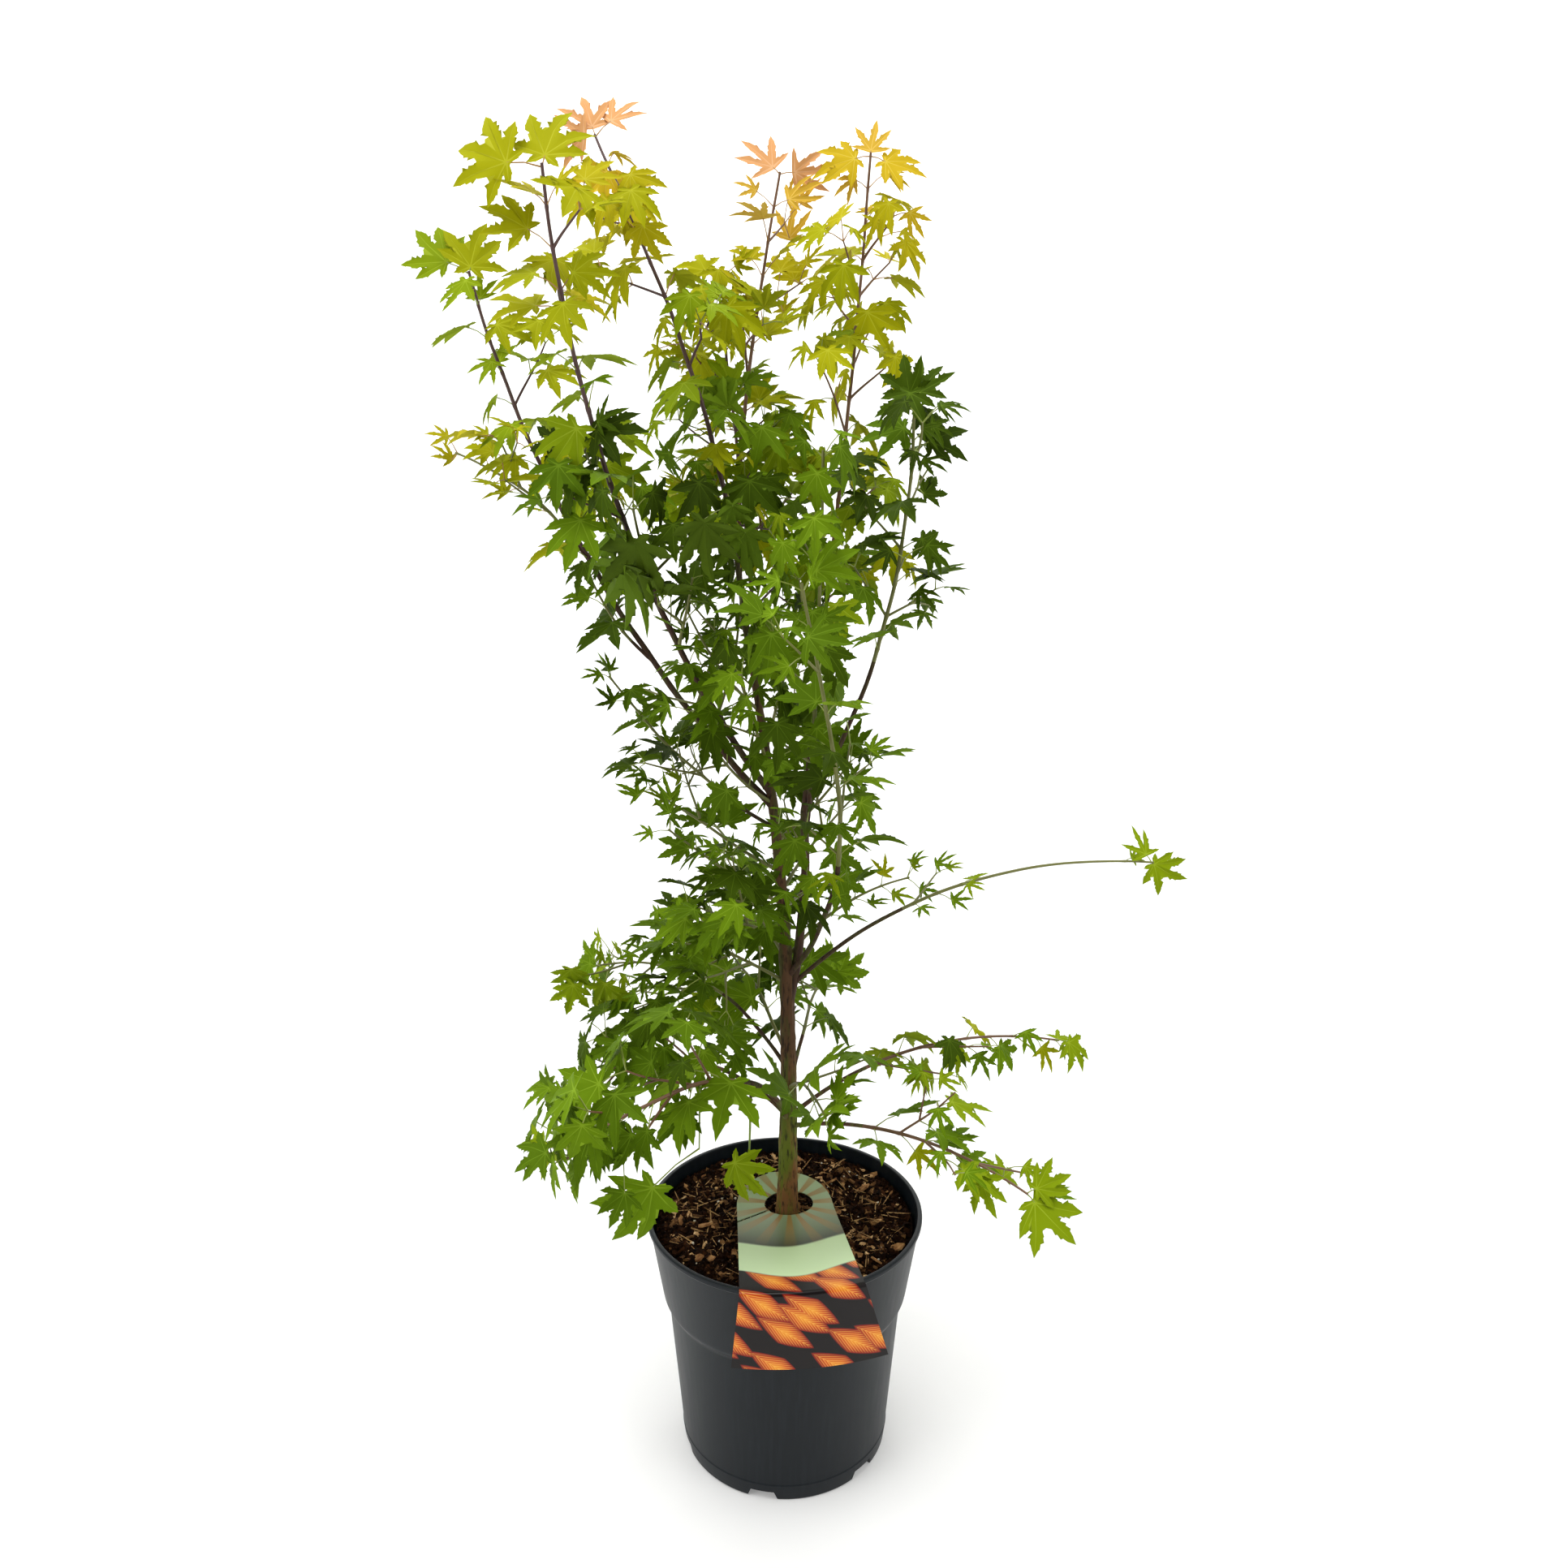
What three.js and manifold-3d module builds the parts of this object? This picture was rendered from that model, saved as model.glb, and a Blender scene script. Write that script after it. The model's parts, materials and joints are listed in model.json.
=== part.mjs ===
// A young maple in a nursery pot, in millimetres, +Z up, origin at the centre of the pot's underside.
import * as THREE from 'three';
import { mergeVertices } from 'three/addons/utils/BufferGeometryUtils.js';
import Module from 'manifold-3d';

const wasm = await Module();
wasm.setup();

// Driving dimensions
const CLEARANCE = 0.3;
const FINEST = 0.05;
const POT = {
  height: 176, rimRadius: 95.5, beadHeight: 4, beadReach: 1.6, edge: 1, lip: 1.2, bandFoot: 118,
  bandFootRadius: 85.5, bandRound: 1.5, step: 5, wallTopRadius: 81.5, baseRadius: 72, baseChamfer: 1.5,
  wall: 2, floor: 9, segments: 36,
};
const NOTCH = { count: 6, firstDegrees: -102, width: 22, topWidth: 16, height: 7, depth: 9, overrun: 4 };
const SOIL = { level: 158, edgeFall: 3, surface: [[68, 0.5], [34, -1.4], [16, 0], [0, 0]] };
const LABEL = {
  thickness: 0.8, turnDegrees: 7, back: 30, backRise: 8, riseEnd: 48, drop: 52, bendRadius: 2.5, lift: 0.9,
  holeWidth: 67, rimWidth: 79, bottomWidth: 101, arch: 34, archPower: 2.4, endShare: 0.25, frontBow: 190,
  bowPower: 3, hole: { length: 34, depth: 25, shift: 3, sides: 20 },
  slit: { width: 1.6, reach: 60, degrees: 205 }, cutHeight: 60, across: 6,
};
const TRUNK = {
  base: [1.5, 0], azimuth: 213, lean: -1, bend: 16, swing: -80, length: 427,
  baseDiameter: 13.4, tipDiameter: 4.4, taper: 1.25, flare: 7, flareHeight: 9, bendPower: 2,
  sides: 9, rings: 15,
};
const LEAF = {
  thickness: 1, droop: 0.16, centre: 0.2, stalk: 1, keel: 0.9, bladeFoot: 0.5, stalkAngle: 52,
  stalkAngleSpread: 16, stalkShare: [0.3, 0.26], sizeShare: [0.84, 0.3], dip: [6, 38], tipDip: [-50, 40],
  roll: 70, lift: [-0.08, 0.25],
};
const LOBES = [
  { degrees: 102, reach: 0.5 }, { degrees: 74, reach: 0.33 }, { degrees: 46, reach: 0.86 },
  { degrees: 21, reach: 0.41 }, { degrees: 0, reach: 1 },
];
const TWIG = {
  diameters: [2.4, 2], angle: 48, sides: 3, rings: 2, leafGap: 30, length: [32, 30], bend: [-4, 14],
  leafShare: 0.9, share: 0.25,
};
const LIMB = { sides: 5, stemSides: 4, step: 36, leastRings: 2, pathStep: 12, leastSteps: 4, frames: 60 };
const PAIR = { gapShare: 1.5, inset: 8, last: 0.985, jitter: 1 };
const SPACE = { reach: 64, samples: 16, tries: 6, turnStep: 22, shrink: 0.05, bladeGap: 0.2, leafGap: 0.45 };
const NEARLY_UPRIGHT = 0.01;
const QUARTER = Math.PI / 2;

// Each shoot leaves its parent, a share of the way up it, at an azimuth (0 right, -90 front, 90 back) and a
// lean from upright, and bends and swings evenly over its length. The first stretch, bare of leaves, is its
// bough. The rest is the stem of its foliage. Shoots with no bare stretch spring straight from the trunk.
const SHOOTS = {
  second: { parent: 'trunk', at: 0.39, azimuth: 8, lean: 12, bend: -15, length: 136, bare: 136,
    diameters: [6.6, 5] },
  a: { parent: 'trunk', at: 0.715, azimuth: 164, lean: 46, bend: -31, swing: 4, length: 388, bare: 190,
    diameters: [4.6, 2.4], leaf: 50, gap: 25, dip: [20, 46], seed: 2111 },
  aOuter: { parent: 'a', at: 0.48, azimuth: 168, lean: 30, bend: 42, length: 124, bare: 42,
    diameters: [2.8, 2.2], leaf: 44, gap: 30, reach: 52, seed: 1712 },
  aLow: { parent: 'a', at: 0.31, azimuth: 172, lean: 50, bend: -25, length: 66, bare: 20,
    diameters: [2.8, 2.2], leaf: 46, gap: 26, reach: 48, seed: 3113 },
  b: { parent: 'trunk', at: 0.735, azimuth: -156, lean: 37, bend: -32, swing: 14, length: 404, bare: 170,
    diameters: [4.4, 2.4], leaf: 52, gap: 25, dip: [20, 46], seed: 14 },
  bLow: { parent: 'b', at: 0.36, azimuth: -104, lean: 46, bend: -20, length: 76, bare: 22,
    diameters: [2.8, 2.2], leaf: 50, gap: 26, reach: 52, seed: 5115 },
  c: { parent: 'trunk', at: 1, azimuth: 176, lean: 11, bend: 25, swing: -14, length: 304, bare: 40,
    diameters: [3.6, 2.2], leaf: 48, gap: 25, dip: [20, 50], seed: 6716 },
  d: { parent: 'trunk', at: 1, azimuth: 62, lean: 20, bend: -4, swing: 14, length: 288, bare: 40,
    diameters: [3.4, 2.2], leaf: 46, gap: 25, dip: [20, 50], seed: 1817 },
  e: { parent: 'second', at: 1, azimuth: 70, lean: 17, bend: -13, swing: -34, length: 412, bare: 130,
    diameters: [3.6, 2.2], leaf: 42, gap: 28, dip: [20, 50], seed: 6618 },
  f: { parent: 'second', at: 1, azimuth: -6, lean: 30, bend: -30, swing: -38, length: 262, bare: 108,
    diameters: [3.4, 2.2], leaf: 48, gap: 25, reach: 50, seed: 1419 },
  g: { parent: 'trunk', at: 0.86, azimuth: 96, lean: 26, bend: -14, swing: 26, length: 290, bare: 60,
    diameters: [3, 2.2], leaf: 48, gap: 29, dip: [20, 50], seed: 1620 },
  h: { parent: 'second', at: 0.84, azimuth: -84, lean: 28, bend: -24, length: 256, bare: 58,
    diameters: [3.2, 2.2], leaf: 54, gap: 27, reach: 60, seed: 6721 },
  j: { parent: 'trunk', at: 0.44, azimuth: -37, lean: 38, bend: -27, swing: -120, length: 296, bare: 112,
    diameters: [3.8, 2.2], leaf: 54, gap: 32, reach: 56, seed: 2922 },
  k: { parent: 'trunk', at: 0.68, azimuth: 149, lean: 68, bend: -32, swing: 19, length: 154, bare: 54,
    diameters: [2.8, 2.2], leaf: 44, gap: 25, reach: 50, seed: 1723 },
  kLow: { parent: 'trunk', at: 0.612, azimuth: 150, lean: 68, bend: -8, swing: 10, length: 108, bare: 0,
    start: 36, diameters: [2.8, 2.2], leaf: 42, gap: 26, reach: 48, seed: 24 },
  right: { parent: 'trunk', at: 0.47, azimuth: 34, lean: 46, bend: 34, swing: -24, length: 104, bare: 0,
    start: 34, diameters: [2.6, 2.2], leaf: 46, gap: 27, reach: 50, seed: 625 },
  left: { parent: 'trunk', at: 0.43, azimuth: 176, lean: 54, bend: 24, length: 82, bare: 0,
    start: 20, diameters: [2.8, 2.2], leaf: 46, gap: 17, reach: 52, seed: 5226 },
  frontLeft: { parent: 'trunk', at: 0.5, azimuth: -132, lean: 52, bend: 28, length: 84, bare: 0,
    start: 20, diameters: [2.8, 2.2], leaf: 48, gap: 17, reach: 52, seed: 3827 },
  frontRight: { parent: 'trunk', at: 0.55, azimuth: -64, lean: 46, bend: 30, length: 80, bare: 0,
    start: 20, diameters: [2.8, 2.2], leaf: 50, gap: 20, reach: 52, seed: 228 },
  backRight: { parent: 'trunk', at: 0.58, azimuth: 54, lean: 52, bend: 20, length: 100, bare: 0,
    start: 26, diameters: [2.8, 2.2], leaf: 48, gap: 27, reach: 52, seed: 2729 },
  backLeft: { parent: 'trunk', at: 0.47, azimuth: 118, lean: 56, bend: 22, length: 104, bare: 0,
    start: 26, diameters: [2.8, 2.2], leaf: 48, gap: 27, reach: 52, seed: 5930 },
  midRight: { parent: 'trunk', at: 0.66, azimuth: 20, lean: 54, bend: -16, length: 72, bare: 0,
    start: 28, diameters: [2.8, 2.2], leaf: 44, gap: 24, reach: 46, seed: 3231 },
  midFront: { parent: 'trunk', at: 0.78, azimuth: -104, lean: 50, bend: -14, length: 92, bare: 0,
    start: 26, diameters: [2.8, 2.2], leaf: 52, gap: 27, reach: 54, seed: 4232 },
  midBack: { parent: 'trunk', at: 0.8, azimuth: 74, lean: 50, bend: -14, length: 104, bare: 0,
    start: 28, diameters: [2.8, 2.2], leaf: 50, gap: 27, reach: 54, seed: 6933 },
  lowRight: { parent: 'trunk', at: 0.185, azimuth: -31, lean: 66, bend: 46, length: 176, bare: 60,
    diameters: [3.4, 2.2], leaf: 40, gap: 28, reach: 46, seed: 2734 },
  lowRightBack: { parent: 'trunk', at: 0.2, azimuth: 24, lean: 58, bend: 42, swing: -24, length: 206,
    bare: 64, diameters: [3.2, 2.2], leaf: 38, gap: 28, reach: 44, seed: 3135 },
  arch: { parent: 'trunk', at: 0.42, azimuth: -2, lean: 43, bend: 47, swing: -14, length: 258, bare: 96,
    diameters: [3.2, 2.2], leaf: 34, gap: 20, reach: 40, bald: [0.58, 0.92], seed: 6336 },
  lowFront: { parent: 'trunk', at: 0.19, azimuth: -112, lean: 28, bend: 92, swing: -38, length: 222,
    bare: 92, diameters: [3.8, 2.2], leaf: 49, gap: 18, dip: [24, 40], seed: 5937 },
  lowLeft: { parent: 'trunk', at: 0.2, azimuth: 176, lean: 36, bend: 92, swing: 14, length: 170, bare: 56,
    diameters: [3.4, 2.2], leaf: 48, gap: 19, dip: [20, 36], reach: 58, seed: 3438 },
  lowLeftBack: { parent: 'trunk', at: 0.28, azimuth: 146, lean: 34, bend: 74, swing: 18, length: 172,
    bare: 70, diameters: [3, 2.2], leaf: 42, gap: 27, reach: 48, seed: 3139 },
  hanging: { parent: 'lowFront', at: 0.33, azimuth: -96, lean: 150, bend: 20, length: 46, bare: 16,
    diameters: [2.6, 2.2], leaf: 48, gap: 30, twigs: 0, dip: [40, 30], seed: 1140 },
  lowBack: { parent: 'trunk', at: 0.22, azimuth: 78, lean: 50, bend: 50, length: 160, bare: 58,
    diameters: [3.2, 2.2], leaf: 48, gap: 27, reach: 56, seed: 6241 },
  footBack: { parent: 'trunk', at: 0.3, azimuth: 112, lean: 52, bend: 44, length: 128, bare: 0,
    start: 36, diameters: [2.8, 2.2], leaf: 48, gap: 27, reach: 56, seed: 5342 },
  footFront: { parent: 'trunk', at: 0.25, azimuth: -76, lean: 46, bend: 56, length: 96, bare: 0,
    start: 28, diameters: [2.6, 2.2], leaf: 48, gap: 26, reach: 50, seed: 2043 },
};

const UP = new THREE.Vector3(0, 0, 1);
const radians = THREE.MathUtils.degToRad;

const finish = {
  pot: new THREE.MeshStandardMaterial({ color: 0x34373a, roughness: 0.5 }),
  soil: new THREE.MeshStandardMaterial({ color: 0x3b2719, roughness: 0.95 }),
  label: new THREE.MeshStandardMaterial({ color: 0x8d9a68, roughness: 0.35 }),
  bark: new THREE.MeshStandardMaterial({ color: 0x5d4a33, roughness: 0.85 }),
  leaf: new THREE.MeshStandardMaterial({ color: 0x6f9a26, roughness: 0.55 }),
};

const plant = new THREE.Group();

// Numbers from 0 to 1 that repeat for the same seed
function seeded(seed) {
  let state = seed >>> 0;
  return () => {
    state = (state + 0x6d2b79f5) >>> 0;
    let mixed = Math.imul(state ^ (state >>> 15), state | 1);
    mixed ^= mixed + Math.imul(mixed ^ (mixed >>> 7), mixed | 61);
    return ((mixed ^ (mixed >>> 14)) >>> 0) / 4294967296;
  };
}

function solidOf(geometry) {
  geometry.deleteAttribute('normal');
  geometry.deleteAttribute('uv');
  const merged = mergeVertices(geometry);
  return new wasm.Manifold(new wasm.Mesh({
    numProp: 3,
    vertProperties: new Float32Array(merged.attributes.position.array),
    triVerts: new Uint32Array(merged.index.array),
  }));
}

// The largest body of a cut solid, without details finer than the finest that matters
function mainBody(solid) {
  const bodies = solid.simplify(FINEST).decompose();
  return bodies.reduce((best, body) => (body.volume() > best.volume() ? body : best));
}

function addNode(name, solid, material) {
  const { vertProperties, triVerts } = mainBody(solid).getMesh();
  const geometry = new THREE.BufferGeometry();
  geometry.setAttribute('position', new THREE.BufferAttribute(vertProperties, 3));
  geometry.setIndex(new THREE.BufferAttribute(triVerts, 1));
  geometry.computeVertexNormals();
  const mesh = new THREE.Mesh(geometry, material);
  mesh.name = name;
  plant.add(mesh);
}

// Lathe profiles are drawn as (radius, height) and stand on +Z
function turned(profile, segments) {
  const points = profile.map(([radius, height]) => new THREE.Vector2(radius, height));
  return solidOf(new THREE.LatheGeometry(points, segments).rotateX(QUARTER));
}

function directionOf(azimuth, lean) {
  const side = Math.sin(radians(lean));
  return new THREE.Vector3(
    side * Math.cos(radians(azimuth)), side * Math.sin(radians(azimuth)), Math.cos(radians(lean)));
}

// A path that bends and swings evenly, from a start point
function bentPath(start, { azimuth, lean, bend = 0, swing = 0, length }, power = 1) {
  const steps = Math.max(LIMB.leastSteps, Math.round(length / LIMB.pathStep));
  const points = [start.clone()];
  for (let step = 0; step < steps; step += 1) {
    const share = (step + 0.5) / steps;
    const heading = directionOf(azimuth + swing * share, lean + bend * share ** power);
    points.push(points[step].clone().addScaledVector(heading, length / steps));
  }
  return new THREE.CatmullRomCurve3(points);
}

// A cylinder bent onto a stretch of a path, with a radius for each place along it
function limb(curve, from, to, radiusAt, sides, rings) {
  const geometry = new THREE.CylinderGeometry(1, 1, 1, sides, rings);
  const frames = curve.computeFrenetFrames(LIMB.frames);
  const position = geometry.attributes.position;
  for (let index = 0; index < position.count; index += 1) {
    const share = position.getY(index) + 0.5;
    const place = from + (to - from) * share;
    const frame = Math.round(place * LIMB.frames);
    const radius = radiusAt(place);
    const point = curve.getPointAt(place)
      .addScaledVector(frames.normals[frame], radius * position.getX(index))
      .addScaledVector(frames.binormals[frame], -radius * position.getZ(index));
    position.setXYZ(index, point.x, point.y, point.z);
  }
  return solidOf(geometry);
}

function evenTaper([base, tip], extra = 0) {
  return (share) => THREE.MathUtils.lerp(base, tip, share) / 2 + extra;
}

function trunkRadius(share, extra = 0) {
  const height = share * TRUNK.length;
  const taper = TRUNK.tipDiameter + (TRUNK.baseDiameter - TRUNK.tipDiameter) * (1 - share) ** TRUNK.taper;
  return (taper + TRUNK.flare * Math.exp(-height / TRUNK.flareHeight)) / 2 + extra;
}

// What already stands, with its box, so that new leaves and twigs stay clear of it
const standing = [];

function stand(solid) {
  const box = solid.boundingBox();
  standing.push({ solid, min: box.min, max: box.max });
  return standing[standing.length - 1];
}

function boxesMeet(one, other) {
  return [0, 1, 2].every((axis) => one.min[axis] < other.max[axis] && other.min[axis] < one.max[axis]);
}

function touches(solid, others) {
  const box = solid.boundingBox();
  return others.some((other) => boxesMeet(box, other) && !solid.intersect(other.solid).isEmpty());
}

const POT_NECK = POT.rimRadius - POT.beadReach;
const POT_BAND_FOOT = POT.bandFoot + POT.bandRound;
const POT_WALL_TOP = POT.bandFoot - POT.step;

function potInside(radius) {
  return radius - POT.wall;
}

function potProfile() {
  const bandTop = POT.height - POT.beadHeight;
  return [
    [0, 0], [POT.baseRadius - POT.baseChamfer, 0], [POT.baseRadius, POT.baseChamfer],
    [POT.wallTopRadius, POT_WALL_TOP], [POT.bandFootRadius - POT.edge, POT.bandFoot - POT.edge],
    [POT.bandFootRadius, POT_BAND_FOOT], [POT_NECK, bandTop], [POT.rimRadius, bandTop + POT.edge],
    [POT.rimRadius, POT.height - POT.edge], [POT.rimRadius - POT.edge, POT.height],
    [potInside(POT_NECK) + POT.lip, POT.height], [potInside(POT_NECK), POT.height - POT.lip],
    [potInside(POT.bandFootRadius), POT_BAND_FOOT], [potInside(POT.wallTopRadius), POT_WALL_TOP],
    [potInside(POT.baseRadius), POT.floor], [0, POT.floor],
  ];
}

// The inner radius of the pot at a height within its band
function bandInside(height) {
  const share = (height - POT_BAND_FOOT) / (POT.height - POT.lip - POT_BAND_FOOT);
  return THREE.MathUtils.lerp(potInside(POT.bandFootRadius), potInside(POT_NECK), share);
}

// Arched cuts in the foot of the wall that let water out
function notch(degrees) {
  const half = NOTCH.width / 2;
  const top = NOTCH.topWidth / 2;
  const shape = new THREE.Shape([
    new THREE.Vector2(-half, -1), new THREE.Vector2(half, -1),
    new THREE.Vector2(top, NOTCH.height), new THREE.Vector2(-top, NOTCH.height),
  ]);
  const depth = NOTCH.depth + NOTCH.overrun;
  const geometry = new THREE.ExtrudeGeometry(shape, { depth, bevelEnabled: false, steps: 1 })
    .rotateX(QUARTER)
    .translate(0, POT.baseRadius + NOTCH.overrun, 0)
    .rotateZ(radians(degrees) - QUARTER);
  return solidOf(geometry);
}

function buildPot() {
  let solid = turned(potProfile(), POT.segments);
  for (let index = 0; index < NOTCH.count; index += 1) {
    solid = solid.subtract(notch(NOTCH.firstDegrees + (360 / NOTCH.count) * index));
  }
  addNode('pot', solid, finish.pot);
  stand(solid);
}

function buildSoil() {
  const foot = POT.floor + CLEARANCE;
  const edge = SOIL.level - SOIL.edgeFall;
  const solid = turned([
    [0, foot], [potInside(POT.baseRadius) - CLEARANCE, foot],
    [potInside(POT.wallTopRadius) - CLEARANCE, POT_WALL_TOP],
    [potInside(POT.bandFootRadius) - CLEARANCE, POT_BAND_FOOT], [bandInside(edge) - CLEARANCE, edge],
    ...SOIL.surface.map(([radius, rise]) => [radius, SOIL.level + rise]),
  ], POT.segments);
  addNode('soil', solid, finish.soil);
  stand(solid);
}

// Where the label's level run turns down over the rim, measured out from the axis
const LABEL_EDGE = POT.rimRadius - LABEL.bendRadius + LABEL.lift;
const LABEL_LEVEL = LABEL.back + LABEL_EDGE;
const LABEL_TURN = QUARTER * LABEL.bendRadius;
const LABEL_LENGTH = LABEL_LEVEL + LABEL_TURN + LABEL.drop;

// The label's middle line from the side: back end, level run to the rim, bend, drop. Gives [y, z].
function labelLine(distance) {
  const top = POT.height + LABEL.lift;
  if (distance < LABEL_LEVEL) {
    const rise = LABEL.backRise * Math.max(0, 1 - distance / LABEL.riseEnd) ** 2;
    return [LABEL.back - distance, top + rise];
  }
  const angle = Math.min(QUARTER, (distance - LABEL_LEVEL) / LABEL.bendRadius);
  const y = -LABEL_EDGE - LABEL.bendRadius * Math.sin(angle);
  const z = top - LABEL.bendRadius * (1 - Math.cos(angle));
  return [y, z - Math.max(0, distance - LABEL_LEVEL - LABEL_TURN)];
}

function labelHalfWidth(distance) {
  const { lerp, inverseLerp } = THREE.MathUtils;
  if (distance < LABEL.arch) {
    const share = 1 - distance / LABEL.arch;
    return (LABEL.holeWidth / 2) * Math.sqrt(Math.max(LABEL.endShare ** 2, 1 - share ** LABEL.archPower));
  }
  if (distance < LABEL_LEVEL) {
    return lerp(LABEL.holeWidth, LABEL.rimWidth, inverseLerp(LABEL.arch, LABEL_LEVEL, distance)) / 2;
  }
  return lerp(LABEL.rimWidth, LABEL.bottomWidth, inverseLerp(LABEL_LEVEL, LABEL_LENGTH, distance)) / 2;
}

// Distances along the label where it needs a row of points, closest at the arch and the bend
function labelRows() {
  const between = (from, to, shares) => shares.map((share) => THREE.MathUtils.lerp(from, to, share));
  return [
    ...between(0, LABEL.arch, [0, 0.06, 0.18, 0.36, 0.6, 1]), LABEL.riseEnd,
    ...between(LABEL.riseEnd, LABEL_LEVEL, [0.4, 0.75]),
    ...between(LABEL_LEVEL, LABEL_LEVEL + LABEL_TURN, [0, 0.25, 0.5, 0.75, 1]),
    ...between(LABEL_LEVEL + LABEL_TURN, LABEL_LENGTH, [0.5, 1]),
  ];
}

// A box bent into the label's sheet, then pierced for the trunk and slit to its edge
function buildLabel() {
  const rows = labelRows();
  const geometry = new THREE.BoxGeometry(2, 1, 1, LABEL.across, rows.length - 1, 1);
  const position = geometry.attributes.position;
  const nudge = 0.01;
  for (let index = 0; index < position.count; index += 1) {
    const distance = rows[Math.round((0.5 - position.getY(index)) * (rows.length - 1))];
    const [y, z] = labelLine(distance);
    const [nextY, nextZ] = labelLine(distance + nudge);
    const across = position.getX(index) * labelHalfWidth(distance);
    const lift = (position.getZ(index) * LABEL.thickness) / nudge;
    const front = THREE.MathUtils.clamp(-y / POT.rimRadius, 0, 1);
    const bow = (front ** LABEL.bowPower * across * across) / (2 * LABEL.frontBow);
    position.setXYZ(index, across, y + bow + (nextZ - z) * lift, z - (nextY - y) * lift);
  }
  const { hole, slit, cutHeight } = LABEL;
  const bore = new THREE.CylinderGeometry(0.5, 0.5, cutHeight, hole.sides).rotateX(QUARTER)
    .scale(hole.length, hole.depth, 1).translate(hole.shift, 0, POT.height);
  const cut = new THREE.BoxGeometry(slit.reach, slit.width, cutHeight)
    .translate(slit.reach / 2, 0, POT.height).rotateZ(radians(slit.degrees));
  const solid = solidOf(geometry).subtract(solidOf(bore)).subtract(solidOf(cut))
    .rotate([0, 0, LABEL.turnDegrees]);
  addNode('label', solid, finish.label);
  stand(solid);
}

const limbs = {};

function buildTrunk() {
  const start = new THREE.Vector3(TRUNK.base[0], TRUNK.base[1], SOIL.level + CLEARANCE);
  const curve = bentPath(start, TRUNK, TRUNK.bendPower);
  const shape = (extra) => limb(
    curve, 0, 1, (share) => trunkRadius(share, extra), TRUNK.sides, TRUNK.rings);
  const flat = shape(0).trimByPlane([0, 0, 1], SOIL.level + CLEARANCE);
  limbs.trunk = { curve, sleeve: shape(CLEARANCE) };
  addNode('trunk', flat, finish.bark);
  stand(flat);
}

// The bough and the stem of a shoot, each cut clear of the limbs that it springs from
function buildLimbs(name, shoot) {
  const curve = bentPath(limbs[shoot.parent].curve.getPointAt(shoot.at), shoot);
  const bareShare = shoot.bare / shoot.length;
  const shape = (from, to, extra, sides) => {
    const rings = Math.max(LIMB.leastRings, Math.round(((to - from) * shoot.length) / LIMB.step));
    return limb(curve, from, to, evenTaper(shoot.diameters, extra), sides, rings);
  };
  const clearOf = (solid) => mainBody(Object.values(limbs).reduce(
    (kept, other) => kept.subtract(other.sleeve), solid));
  const entry = { curve, shoot };
  const sleeves = [];
  if (shoot.bare > 0) {
    const bough = clearOf(shape(0, bareShare, 0, LIMB.sides));
    sleeves.push(shape(0, bareShare, CLEARANCE, LIMB.sides));
    addNode(`bough_${name}`, bough, finish.bark);
    stand(bough);
  }
  if (shoot.bare < shoot.length) {
    const from = shoot.bare > 0 ? bareShare + CLEARANCE / shoot.length : 0;
    const sleeve = shape(from, 1, CLEARANCE, LIMB.stemSides);
    sleeves.push(sleeve);
    entry.stem = clearOf(shape(from, 1, 0, LIMB.stemSides));
    entry.standing = stand(sleeve);
  }
  entry.sleeve = wasm.Manifold.union(sleeves);
  limbs[name] = entry;
}

// A palmate blade on a three-sided stalk, as one closed mesh: a pillow over the outline of its lobes
function leafSolid({ root, base, out, normal, length }, extra = 0, withStalk = true) {
  const side = new THREE.Vector3().crossVectors(out, normal);
  const at = (across, along, lift) => base.clone().addScaledVector(side, across)
    .addScaledVector(out, along).addScaledVector(normal, lift);
  const size = length + extra;
  const half = LEAF.stalk / 2 + extra;
  const lift = LEAF.thickness + extra;
  const lobe = (hand) => ({ degrees, reach }) => {
    const across = hand * Math.sin(radians(degrees)) * reach * size;
    const along = Math.cos(radians(degrees)) * reach * size;
    return at(across, along, -LEAF.droop * reach * reach * size);
  };
  const ring = [at(half, 0, 0), ...LOBES.map(lobe(1)), ...LOBES.slice(0, -1).reverse().map(lobe(-1)),
    at(-half, 0, 0)];
  const middle = LEAF.centre * size;
  const keel = at(0, 0, -LEAF.keel - extra);
  const stalk = withStalk ? root : base.clone().addScaledVector(out, -extra - LEAF.bladeFoot);
  const shift = stalk.clone().sub(base);
  const foot = [ring[0], ring[ring.length - 1], keel].map((point) => point.clone().add(shift));
  const points = [at(0, middle, lift), ...ring, keel, ...foot];
  const [top, right] = [0, 1];
  const left = ring.length;
  const below = left + 1;
  const [rightFoot, leftFoot, belowFoot] = [below + 1, below + 2, below + 3];
  const faces = [[top, left, right], [right, left, leftFoot], [right, leftFoot, rightFoot],
    [left, below, belowFoot], [left, belowFoot, leftFoot], [below, right, rightFoot],
    [below, rightFoot, belowFoot], [rightFoot, leftFoot, belowFoot]];
  for (let index = right; index < left; index += 1) {
    faces.push([top, index, index + 1], [below, index + 1, index]);
  }
  return new wasm.Manifold(new wasm.Mesh({
    numProp: 3,
    vertProperties: new Float32Array(points.flatMap((point) => point.toArray())),
    triVerts: new Uint32Array(faces.flat()),
  }));
}

// A direction tilted away from an axis by an angle, turned round it from level
function tilted(axis, turn, angle) {
  const level = new THREE.Vector3().crossVectors(UP, axis);
  if (level.lengthSq() < NEARLY_UPRIGHT) level.set(1, 0, 0);
  level.normalize();
  const across = level.applyAxisAngle(axis, turn);
  return axis.clone().multiplyScalar(Math.cos(angle)).addScaledVector(across, Math.sin(angle));
}

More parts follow.
